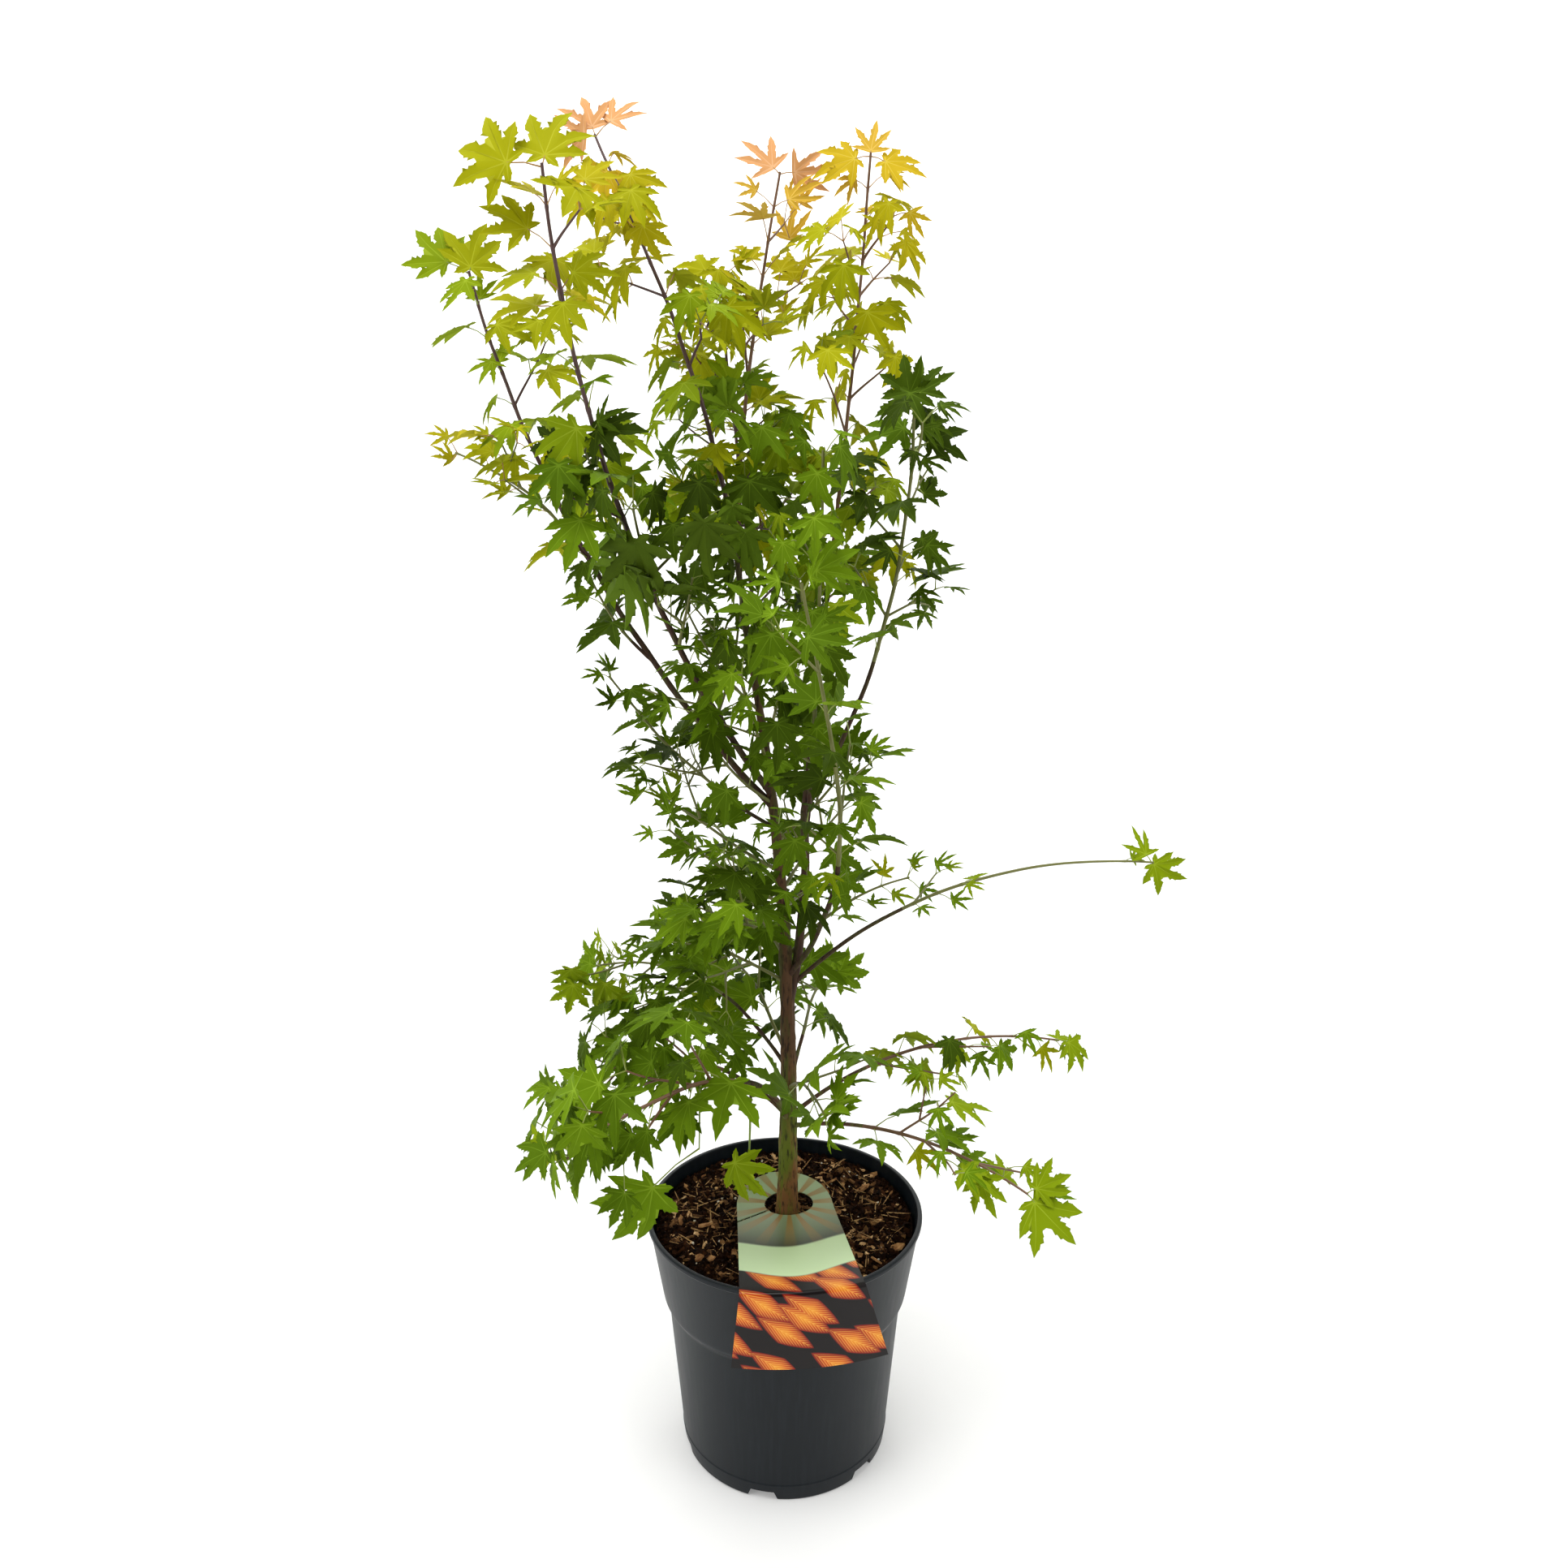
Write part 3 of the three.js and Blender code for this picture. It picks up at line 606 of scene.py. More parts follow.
# The shoots that the solids have too, each after the one that it grows from
SHOOTS = {
    "second": Shoot("trunk", 0.39, 8, 12, 136, bend=-15, bare=136, diameters=(6.6, 5)),
    "a": Shoot(
        "trunk", 0.715, 164, 46, 388, bend=-31, swing=4, bare=190, diameters=(4.6, 1.8), leaf=36,
        dip=(50, 2), tones=(4.6, 4.1), ripening=0.8, bark=TwigBark.PURPLE,
        fan=(TipLeaf(-50, 34, 17.0, -60), TipLeaf(4, 35, 5.0)), seed=82),
    "aOuter": Shoot(
        "a", 0.48, 168, 30, 124, bend=42, bare=42, diameters=(2.6, 1.3), leaf=27, dip=(-14, -14), gap=28,
        reach=52, tones=(5.4, 6.6), seed=1483),
    "aLow": Shoot(
        "a", 0.31, 172, 50, 66, bend=-25, bare=20, diameters=(2.4, 1.3), leaf=33, dip=(18, 18), reach=48,
        tones=(1.4, 2.4), seed=937),
    "b": Shoot(
        "trunk", 0.735, -156, 37, 386, bend=-32, swing=14, bare=170, diameters=(4.4, 1.8), leaf=35,
        dip=(34, -22), tones=(0.6, 6.2), ripening=0.6, bark=TwigBark.PURPLE,
        fan=(TipLeaf(10, 34), TipLeaf(-66, 37, 19.0, -82)), seed=538),
    "bLow": Shoot(
        "b", 0.36, -104, 46, 76, bend=-20, bare=22, diameters=(2.6, 1.3), leaf=42, dip=(80, 80), reach=52,
        tones=(0.4, 1.2), seed=939),
    "c": Shoot(
        "trunk", 1, 205, 5, 304, bend=27, swing=-66, bare=40, diameters=(3.6, 1.6), leaf=36, dip=(58, 8),
        tones=(4.2, 11), ripening=3, bark=TwigBark.PURPLE,
        fan=(TipLeaf(-19, 31), TipLeaf(40, 27, 14.0), TipLeaf(-88, 28)), seed=1674),
    "d": Shoot(
        "trunk", 1, 106, 23, 292, bend=-11, swing=-72, bare=40, diameters=(3.4, 1.6), leaf=34,
        dip=(-20, -44), tones=(4.2, 11), ripening=2.8, bark=TwigBark.RUSSET,
        fan=(TipLeaf(-40, 32), TipLeaf(82, 30, 10.0)), seed=175),
    "e": Shoot(
        "second", 1, 70, 17, 412, bend=-13, swing=-34, bare=130, diameters=(3.6, 1.6), leaf=33, gap=25,
        dip=(66, 22), tones=(3.8, 9), ripening=1.8, bark=TwigBark.RUSSET,
        fan=(TipLeaf(4, 25, 4.0), TipLeaf(-100, 28, 10.0), TipLeaf(112, 28, 10.0)), seed=576),
    "f": Shoot(
        "second", 1, -6, 30, 262, bend=-30, swing=-38, bare=108, diameters=(3.4, 1.7), leaf=33,
        dip=(12, 12), reach=50, tones=(0.5, 1.1), seed=1490),
    "g": Shoot(
        "trunk", 0.86, 96, 26, 290, bend=-14, swing=26, bare=60, diameters=(3, 1.6), leaf=32, gap=28,
        dip=(56, 16), tones=(3.4, 6.4), bark=TwigBark.PURPLE, seed=278),
    "h": Shoot(
        "second", 0.84, -84, 28, 256, bend=-24, bare=58, diameters=(3.2, 1.6), leaf=36, dip=(66, 66),
        gap=30, reach=60, tones=(1.5, 2.6), seed=1379),
    "j": Shoot(
        "trunk", 0.44, -37, 38, 296, bend=-27, swing=-120, bare=112, diameters=(3.8, 1.8), leaf=31,
        dip=(-16, -16), gap=32, reach=56, tones=(1.5, 2.5), seed=780),
    "k": Shoot(
        "trunk", 0.68, 149, 68, 154, bend=-32, swing=19, bare=54, diameters=(2.6, 1.4), leaf=28,
        dip=(-12, -12), reach=50, tones=(1, 2), seed=894),
    "kLow": Shoot(
        "trunk", 0.612, 150, 68, 108, bend=-8, swing=10, start=36, diameters=(2.6, 1.3), leaf=30,
        dip=(-42, -42), reach=48, tones=(2, 4), seed=1395),
    "right": Shoot(
        "trunk", 0.47, 34, 46, 104, bend=34, swing=-24, start=34, leaf=25, dip=(-12, -12), gap=27, reach=50,
        tones=(2, 3), seed=1249),
    "left": Shoot(
        "trunk", 0.43, 176, 54, 82, bend=24, start=20, leaf=32, dip=(-6, -6), gap=18, reach=60, twigs=0.5,
        tones=(1.5, 3), seed=1497),
    "frontLeft": Shoot(
        "trunk", 0.5, -132, 52, 84, bend=28, start=20, leaf=31, dip=(14, 14), gap=18, reach=52,
        tones=(1.5, 2.6), seed=251),
    "frontRight": Shoot(
        "trunk", 0.55, -64, 46, 80, bend=30, start=20, leaf=30, dip=(44, 44), gap=20, reach=52,
        tones=(1.5, 3), seed=852),
    "backRight": Shoot(
        "trunk", 0.58, 54, 52, 100, bend=20, start=26, leaf=34, dip=(48, 48), reach=52, tones=(1, 2.5),
        seed=500),
    "backLeft": Shoot(
        "trunk", 0.47, 118, 56, 104, bend=22, start=26, leaf=34, dip=(-8, -8), reach=52, tones=(1, 2.5),
        seed=1201),
    "midRight": Shoot(
        "trunk", 0.66, 20, 54, 72, bend=-16, start=28, leaf=30, dip=(-8, -8), gap=24, reach=46,
        tones=(1, 2), seed=202),
    "midFront": Shoot(
        "trunk", 0.78, -104, 50, 92, bend=-14, start=26, leaf=32, dip=(16, 16), reach=54, tones=(1.4, 2.4),
        seed=290),
    "midBack": Shoot(
        "trunk", 0.8, 74, 50, 104, bend=-14, start=28, leaf=36, dip=(24, 24), reach=54, tones=(1, 2.4),
        seed=157),
    "lowRight": Shoot(
        "trunk", 0.185, -31, 66, 176, bend=46, bare=60, diameters=(3.2, 1.4), leaf=31, dip=(-10, 14),
        gap=22, reach=46, twigs=0.2, tones=(3, 3.6), bark=TwigBark.RUSSET,
        fan=(TipLeaf(138, 36), TipLeaf(66, 24)), seed=705),
    "lowRightBack": Shoot(
        "trunk", 0.2, 24, 58, 206, bend=42, swing=-24, bare=64, diameters=(3.2, 1.3), leaf=30, dip=(40, 40),
        gap=20, reach=44, tones=(2.6, 4), bark=TwigBark.RUSSET, seed=606),
    "arch": Shoot(
        "trunk", 0.42, -2, 43, 258, bend=47, swing=-14, bare=96, diameters=(3, 1.3), leaf=21,
        dip=(-14, -14), gap=20, reach=40, tones=(3, 4), bald=(0.58, 0.92),
        fan=(TipLeaf(128, 22, 2.0), TipLeaf(-32, 20, 6.0)), seed=560),
    "lowFront": Shoot(
        "trunk", 0.19, -112, 28, 222, bend=92, swing=-38, bare=92, diameters=(3.8, 1.6), leaf=39, gap=18,
        dip=(16, 62), sweep=0.9, facing=0.15, tones=(1.9, 2.9), bark=TwigBark.RUSSET, seed=1179),
    "lowLeft": Shoot(
        "trunk", 0.2, 176, 36, 170, bend=92, swing=14, bare=56, diameters=(3.4, 1.5), leaf=36, gap=19,
        dip=(42, 68), sweep=0.9, facing=0.15, reach=58, tones=(1.6, 2.8), bark=TwigBark.RUSSET, seed=1480),
    "lowLeftBack": Shoot(
        "trunk", 0.28, 146, 34, 172, bend=74, swing=18, bare=70, diameters=(2.8, 1.3), leaf=32,
        dip=(56, 56), gap=18, reach=56, twigs=0.5, tones=(2, 3), seed=310),
    "hanging": Shoot(
        "lowFront", 0.33, -96, 150, 46, bend=20, bare=16, diameters=(2, 1.2), leaf=36, dip=(-2, -2), gap=30,
        twigs=0, bald=(0, 1), tones=(3.5, 3.5), bark=TwigBark.GREEN, fan=(TipLeaf(133, 31, 10.0, -115),),
        seed=1511),
    "lowBack": Shoot(
        "trunk", 0.22, 78, 50, 160, bend=50, bare=58, diameters=(3.2, 1.4), leaf=38, dip=(36, 36), reach=56,
        tones=(2, 3), seed=112),
    "footBack": Shoot(
        "trunk", 0.3, 112, 52, 128, bend=44, start=36, diameters=(2.8, 1.4), leaf=44, dip=(2, 2), reach=56,
        tones=(2, 3), seed=313),
    "footFront": Shoot(
        "trunk", 0.25, -76, 46, 96, bend=56, start=28, leaf=36, dip=(-54, -54), reach=50,
        tones=(2.4, 3), seed=1414),
}
# Short spurs that only this script has, between the shoots
SPURS = {
    "dangling": Shoot(
        "lowFront", 0.56, -96, 158, 40, bend=16, start=4, diameters=(1.4, 0.9), leaf=36, dip=(-2, -2),
        twigs=0, bald=(0, 1), tones=(3.3, 3.3), bark=TwigBark.GREEN, fan=(TipLeaf(-145, 42, 36.0, -129),),
        seed=1182),
    "bSpur": Shoot(
        "b", 0.3, -70, 32, 54, bend=10, start=10, diameters=(2.2, 1.2), leaf=31, dip=(-30, -30), gap=22,
        reach=46, tones=(0.4, 1.4), seed=968),
    "bUpper": Shoot(
        "b", 0.5, -150, 34, 50, bend=-10, start=8, diameters=(2, 1.1), leaf=36, dip=(10, 10), gap=22,
        reach=42, tones=(0.2, 0.8), seed=155),
    "bFoot": Shoot(
        "b", 0.1, 168, 42, 62, bend=-20, start=10, diameters=(2, 1.1), leaf=27, dip=(18, 18), gap=20,
        reach=40, tones=(0.8, 2), seed=1503),
    "bInner": Shoot(
        "b", 0.17, 20, 22, 78, bend=-20, start=12, diameters=(2.2, 1.2), leaf=28, dip=(26, 26), gap=24,
        reach=44, tones=(0.6, 1.6), seed=116),
    "aSpur": Shoot(
        "a", 0.2, 60, 30, 84, bend=16, start=12, diameters=(2.2, 1.2), leaf=26, dip=(-4, -4), gap=24,
        reach=44, tones=(0.6, 1.6), seed=470),
    "cSpur": Shoot(
        "c", 0.14, -130, 48, 62, bend=-20, start=10, diameters=(2, 1.1), leaf=35, dip=(70, 70), gap=24,
        reach=44, tones=(1.2, 2.6), seed=771),
    "upperLeft": Shoot(
        "trunk", 0.86, -160, 48, 84, bend=-26, start=14, diameters=(2.2, 1.2), leaf=28, dip=(-30, -30),
        gap=24, reach=46, tones=(0.6, 1.8), seed=372),
    "innerLeft": Shoot(
        "trunk", 0.72, -150, 56, 88, bend=-30, start=14, diameters=(2.2, 1.2), leaf=40, dip=(28, 28),
        gap=24, reach=42, tones=(0.4, 1.6), seed=520),
    "lowInner": Shoot(
        "trunk", 0.56, -170, 58, 92, bend=-10, start=14, diameters=(2.2, 1.2), leaf=26, dip=(0, 0), gap=24,
        reach=40, tones=(0.8, 2.2), seed=321),
}
GROWN = {**SHOOTS, **SPURS}


@dataclass
class Stem:
    """A stretch of wood: its path, and the radius at each of its points."""

    path: Path
    radii: np.ndarray
    bark: TwigBark = TwigBark.OLIVE


@dataclass
class Leaf:
    """One leaf's place: stalk root, blade base, the way that it points and faces, its size and its age."""

    root: np.ndarray
    base: np.ndarray
    out: np.ndarray
    normal: np.ndarray
    length: float
    tone: float
    shape: int

    @property
    def side(self) -> np.ndarray:
        """The blade's right-hand direction."""
        return np.cross(self.out, self.normal)

    def markers(self, share: float = 0.85) -> np.ndarray:
        """Points over the blade that stand for it when others keep clear of it.

        Args:
            share: how far out the outer ones lie.

        Returns:
            Seven points: the middle, and one out on each of six ways.
        """
        ways = ((0, 0.3), (0, share), (0.36, 0.5), (-0.36, 0.5), (0.62, 0.3), (-0.62, 0.3), (0, 0.6))
        side, sag = self.side, 0.14
        return np.array([
            self.base + (side * x + self.out * y - self.normal * sag * (x * x + y * y)) * self.length
            for x, y in ways])


@dataclass(frozen=True)
class Spray:
    """What the leaves of one spray share: tint, how far they hang, and how near the shoot's tip they are."""

    tone: float
    dip: float
    way: float


class Room:
    """The space already taken, as points with a radius, so that new growth keeps clear."""

    reach = 12.0

    def __init__(self) -> None:
        """Starts empty."""
        self.points = np.empty((0, 3))
        self.radii = np.empty(0)

    def take(self, points: np.ndarray, radius: float) -> None:
        """Marks points as taken."""
        self.points = np.vstack((self.points, points))
        self.radii = np.concatenate((self.radii, np.full(len(points), radius)))

    def clear(self, points: np.ndarray, gap: float) -> bool:
        """Tells whether points keep a gap from all that is taken.

        Args:
            points: the points that are to be added.
            gap: the least distance.

        Returns:
            True where all are clear.
        """
        low, high = points.min(0) - self.reach, points.max(0) + self.reach
        near = ((self.points > low) & (self.points < high)).all(axis=1)
        if not near.any():
            return True
        apart = np.linalg.norm(self.points[near][None] - points[:, None], axis=2) - self.radii[near]
        return bool(apart.min() > gap)


@dataclass(frozen=True)
class Habit:
    """How leaves and twigs sit on a stem, for the whole plant.

    Angles are in degrees, and a pair is a least value and what may come on top of it.
    """

    gap_share: float = 0.84
    inset: float = 8.0
    last: float = 0.985
    jitter: float = 1.0
    stalk_angle: float = 52.0
    stalk_spread: float = 16.0
    stalk_share: Pair = (0.32, 0.34)
    size_share: Pair = (0.6, 0.5)
    young_share: float = 0.2
    lift: Pair = (-0.08, 0.25)
    dip_spread: float = 44.0
    turned: Pair = (-0.2, 0.9)
    turned_tip: float = 1.1
    tip_dip: float = -34.0
    roll: float = 64.0
    tone_spread: float = 0.5
    spray_spread: float = 0.45
    tries: int = 6
    turn_step: float = 22.0
    shrink: float = 0.05
    blade_gap: float = 4.8
    stem_gap: float = 2.0
    fan_share: float = 0.995
    tip_size: float = 0.8
    spine_points: int = 17
    twig_length: Pair = (26.0, 34.0)
    twig_angle: float = 46.0
    twig_bend: Pair = (-4.0, 14.0)
    twig_sway: float = 4.0
    twig_radii: Pair = (0.95, 0.55)
    twig_thickness: Pair = (0.7, 0.3)
    twig_room: float = 0.8
    twig_pair_gap: float = 22.0
    twig_leaf_share: float = 0.86
    twig_leaf_size: Pair = (0.75, 0.25)
    forking_size: float = 0.9
    twiglet_share: float = 0.3
    twiglet_size: float = 0.55


HABIT = Habit()


def between(draw: random.Random, span: Pair) -> float:
    """Draws a number from a least value and a spread."""
    return span[0] + span[1] * draw.random()


def tilted(axis: np.ndarray, turn: float, angle: float) -> np.ndarray:
    """Gives a direction tilted away from an axis.

    Args:
        axis: a unit vector.
        turn: how far round the axis, from level, in radians.
        angle: how far away from the axis, in radians.

    Returns:
        A unit vector.
    """
    level = np.cross(UP, axis)
    level = unit(level) if level @ level > 0.01 else np.array((1.0, 0.0, 0.0))
    return axis * math.cos(angle) + rotated(level, axis, turn) * math.sin(angle)


class Growth:
    """The foliage of one shoot while it grows."""

    def __init__(self, shoot: Shoot, path: Path, room: Room, box: np.ndarray) -> None:
        """Readies a shoot.

        Args:
            shoot: its facts.
            path: the way of its whole stem.
            room: what is taken by others.
            box: the lowest and highest corner that no leaf may leave.
        """
        self.shoot = shoot
        self.path = path
        self.room = room
        self.box = box
        self.draw = random.Random(shoot.seed)
        self.leaves: list[Leaf] = []
        self.twigs: list[Stem] = []
        self.joints: list[float] = []
        first = (shoot.bare or shoot.start) / shoot.length
        self.spine = np.array([path.point(share) for share in np.linspace(first, 1, HABIT.spine_points)])

    def place(self, line: Path, share: float, turn: float, length: float, spray: Spray) -> Leaf:
        """Works out where one leaf hangs.

        Args:
            line: the stem or twig that carries it.
            share: where it sits on that.
            turn: how far round the stem, in radians.
            length: the blade's length, about.
            spray: what it shares with its spray.

        Returns:
            The leaf.
        """
        draw = self.draw
        axis = line.tangent(share)
        root = line.point(share)
        angle = HABIT.stalk_angle + HABIT.stalk_spread * (draw.random() - 0.5)
        heading = unit(tilted(axis, turn, math.radians(angle)) + UP * between(draw, HABIT.lift))
        base = root + heading * length * between(draw, HABIT.stalk_share)
        dip = math.radians(spray.dip + HABIT.dip_spread * (draw.random() - 0.5))
        least, more = HABIT.turned
        turned = least + more * draw.random() ** 2 + HABIT.turned_tip * spray.way ** 2
        skyward = unit(UP + LIGHT * turned)
        flat = unit(heading * LEVEL + 0.001) + axis * LEVEL * self.shoot.sweep
        flat = flat + LIGHT * math.sin(dip) * self.shoot.facing
        flat = unit(flat - skyward * (skyward @ flat))
        out = flat * math.cos(dip) - skyward * math.sin(dip)
        normal = unit(skyward - out * (skyward @ out))
        normal = rotated(normal, out, math.radians(HABIT.roll * (draw.random() - 0.5)))
        size = length * between(draw, HABIT.size_share)
        tone = spray.tone + draw.gauss(0, HABIT.tone_spread)
        return Leaf(root, base, out, normal, size, tone, draw.randrange(LEAF_SHAPES))

    def fits(self, leaf: Leaf) -> bool:
        """Tells whether a leaf stays in its shoot's space, in the box and clear of the rest.

        Args:
            leaf: the leaf that may be added.

        Returns:
            True where it does.
        """
        tip = leaf.base + leaf.out * leaf.length
        if np.linalg.norm(self.spine - tip, axis=1).min() > self.shoot.reach:
            return False
        marks = leaf.markers(1.0)
        inside = (marks > self.box[0]).all() and (marks < self.box[1]).all()
        return bool(inside) and self.room.clear(marks, HABIT.blade_gap)

    def add_leaf(self, line: Path, share: float, turn: float, length: float, spray: Spray) -> None:
        """Adds a leaf, turned aside and made smaller each time until it is clear, or leaves it out.

        Args:
            line: the stem or twig that carries it.
            share: where it sits on that.
            turn: how far round the stem, in radians.
            length: the blade's length, about.
            spray: what it shares with its spray.
        """
        for attempt in range(HABIT.tries):
            aside = math.radians(HABIT.turn_step * ((attempt + 1) // 2) * (1 if attempt % 2 else -1))
            leaf = self.place(line, share, turn + aside, length * (1 - HABIT.shrink * attempt), spray)
            if self.fits(leaf):
                self.leaves.append(leaf)
                self.room.take(leaf.markers(), 0.0)
                return

    def spray(self, share: float) -> Spray:
        """Gives what a spray has in common, with a little chance in its tint.

        Args:
            share: where it sits on the whole stem.

        Returns:
            The spray.
        """
        first = (self.shoot.bare or self.shoot.start) / self.shoot.length
        way = max(0.0, (share - first) / (1 - first))
        low, high = self.shoot.tones
        tone = low + (high - low) * way ** self.shoot.ripening + self.draw.gauss(0, HABIT.spray_spread)
        near, far = self.shoot.dip
        return Spray(tone, near + (far - near) * way, way)

    def add_twig(self, line: Path, share: float, turn: float, size: float, spray: Spray) -> None:
        """Adds a twig with pairs of leaves, finer twigs and a leaf at its tip.

        Args:
            line: what it grows on.
            share: where on that.
            turn: how far round, in radians.
            size: its size, where one is a full twig.
            spray: what its leaves share.
        """
        draw = self.draw
        heading = tilted(line.tangent(share), turn, math.radians(HABIT.twig_angle))
        length = between(draw, HABIT.twig_length) * size
        course = Course(math.degrees(math.atan2(heading[1], heading[0])), math.degrees(math.acos(heading[2])),
                        length, bend=between(draw, HABIT.twig_bend), sway=HABIT.twig_sway)
        twig = course.path(line.point(share))
        if not self.room.clear(twig.points[3:], HABIT.stem_gap):
            return
        least, more = HABIT.twig_thickness
        taper = np.linspace(*HABIT.twig_radii, len(twig.points)) * (least + more * size)
        self.twigs.append(Stem(twig, taper, self.shoot.bark))
        self.room.take(twig.points[2::3], HABIT.twig_room)
        turns = draw.random() * math.pi
        pairs = max(1, round(length / HABIT.twig_pair_gap))
        least, more = HABIT.twig_leaf_size
        leaf_length = self.shoot.leaf * HABIT.twig_leaf_share * (least + more * size)
        for pair in range(1, pairs + 1):
            spot = min(HABIT.last, pair / pairs)
            for opposite in (0, math.pi):
                way = turns + pair * math.pi / 2 + opposite
                finer = pair < pairs and size > HABIT.forking_size and draw.random() < HABIT.twiglet_share
                if finer:
                    self.add_twig(twig, spot, way, HABIT.twiglet_size, spray)
                else:
                    self.add_leaf(twig, spot, way, leaf_length, spray)
        self.add_leaf(twig, HABIT.last, draw.random() * math.pi, leaf_length, spray)

    def grow(self) -> "Growth":
        """Grows pairs of leaves and twigs along the stem, each pair turned a quarter round, and its tip.

        Returns:
            This growth, when it is done.
        """
        shoot, draw = self.shoot, self.draw
        for tip in shoot.fan:
            self.leaves.append(tip.leaf(self.path.point(HABIT.fan_share), self.spray(1).tone, draw))
            self.room.take(self.leaves[-1].markers(), 0.0)
        first = (shoot.bare or shoot.start) + HABIT.inset
        run = shoot.length - first
        joints = max(2, round(run / (shoot.gap * HABIT.gap_share)))
        for joint in range(joints + 1):
            share = min(HABIT.last, (first + joint / joints * run) / shoot.length)
            turn = joint * math.pi / 2 + HABIT.jitter * (draw.random() - 0.5)
            if shoot.bald[0] < share < shoot.bald[1] or (shoot.fan and joint == joints):
                continue
            self.joints.append(share)
            young = 1 - HABIT.young_share * joint / joints
            spray = self.spray(share)
            for opposite in (0, math.pi):
                if draw.random() < shoot.twigs and joint < joints - 1:
                    self.add_twig(self.path, share, turn + opposite, young, spray)
                else:
                    self.add_leaf(self.path, share, turn + opposite, shoot.leaf * young, spray)
        if not shoot.fan:
            last = self.spray(1)
            erect = Spray(last.tone, last.dip + HABIT.tip_dip, last.way)
            self.add_leaf(self.path, HABIT.last, draw.random() * math.pi, shoot.leaf * HABIT.tip_size, erect)
        return self


@dataclass(frozen=True)
class TrunkForm:
    """The trunk's course and thickness."""

    foot: Triple = (1.5, 0.0, 158.3)
    course: Course = Course(213, -1, 427, bend=16, swing=-80, power=2)
    diameters: Pair = (14.6, 4.4)
    taper: float = 1.35
    flare: float = 6.0
    flare_height: float = 12.0

    def radii(self, path: Path) -> np.ndarray:
        """Gives the radius at each point of the trunk's path.

        Args:
            path: the trunk's path.

        Returns:
            The radii.
        """
        share = path.along / path.length
        base, tip = self.diameters
        swell = self.flare * np.exp(-path.along / self.flare_height)
        return (tip + (base - tip) * (1 - share) ** self.taper + swell) / 2


class MaplePlant:
    """The whole plant as it grows: trunk, boughs, stems, twigs and leaves."""

    sway = 1.6
    trunk_room = 5.0
    shoot_room = 1.2
    collar = 0.35
    collar_length = 5.0
    joint_swell = 0.22
    joint_length = 1.6
    joint_steps = (-1.5, 0.0, 1.5)

    def __init__(self, box: np.ndarray) -> None:
        """Grows the plant.

        Args:
            box: the lowest and highest corner that no leaf may leave.
        """
        self.room = Room()
        form = TrunkForm()
        trunk = form.course.path(np.array(form.foot))
        self.paths = {"trunk": trunk}
        self.trunk = Stem(trunk, form.radii(trunk))
        self.room.take(trunk.points[::2], self.trunk_room)
        self.boughs: dict[str, Stem] = {}
        self.stems: list[Stem] = []
        self.growths: dict[str, Growth] = {}
        for name, shoot in GROWN.items():
            self.lay_path(name, shoot)
        for name, shoot in GROWN.items():
            if shoot.leaf:
                self.growths[name] = Growth(shoot, self.paths[name], self.room, box).grow()
        for name, shoot in GROWN.items():
            self.part_wood(name, shoot)

    def lay_path(self, name: str, shoot: Shoot) -> None:
        """Lays a shoot's path from its place on its parent, and takes its room.

        Args:
            name: the shoot's name.
            shoot: its facts.
        """
        course = Course(shoot.azimuth, shoot.lean, shoot.length, shoot.bend, shoot.swing, sway=self.sway)
        self.paths[name] = course.path(self.paths[shoot.parent].point(shoot.at))
        self.room.take(self.paths[name].points[3::2], self.shoot_room)

    def part_wood(self, name: str, shoot: Shoot) -> None:
        """Parts a shoot's wood into its bare bough and the stem that carries its leaves.

        Args:
            name: the shoot's name.
            shoot: its facts.
        """
        path = self.paths[name]
        joints = self.growths[name].joints if name in self.growths else []
        places = set(path.along.tolist())
        for joint in joints:
            places.update(joint * path.length + np.array(self.joint_steps) * self.joint_length)
        places.add(shoot.bare)
        places = np.array(sorted(place for place in places if 0 <= place <= path.length))
        points = np.array([path.point(place / path.length) for place in places])
        share = places / path.length
        radii = (shoot.diameters[0] + (shoot.diameters[1] - shoot.diameters[0]) * share) / 2
        radii = radii * (1 + self.collar * np.exp(-places / self.collar_length))
        for joint in joints:
            radii = radii * (1 + self.joint_swell * np.exp(
                -((places - joint * path.length) / self.joint_length) ** 2))
        bare = places <= shoot.bare
        if shoot.bare > 0:
            self.boughs[name] = Stem(Path(points[bare]), radii[bare], shoot.bark)
        if shoot.bare < shoot.length:
            last_bare = max(0, int(bare.sum()) - 1)
            self.stems.append(Stem(Path(points[last_bare:]), radii[last_bare:], shoot.bark))

    @property
    def leaves(self) -> list[Leaf]:
        """All leaves, shoot by shoot."""
        return [leaf for growth in self.growths.values() for leaf in growth.leaves]

    @property
    def twigs(self) -> list[Stem]:
        """All twigs, shoot by shoot."""
        return [twig for growth in self.growths.values() for twig in growth.twigs]


@dataclass(frozen=True)
class Lobe:
    """One lobe of a leaf: its direction, its reach, and its teeth as pairs of (way out, half width)."""

    degrees: float
    reach: float
    teeth: tuple[Pair, ...]


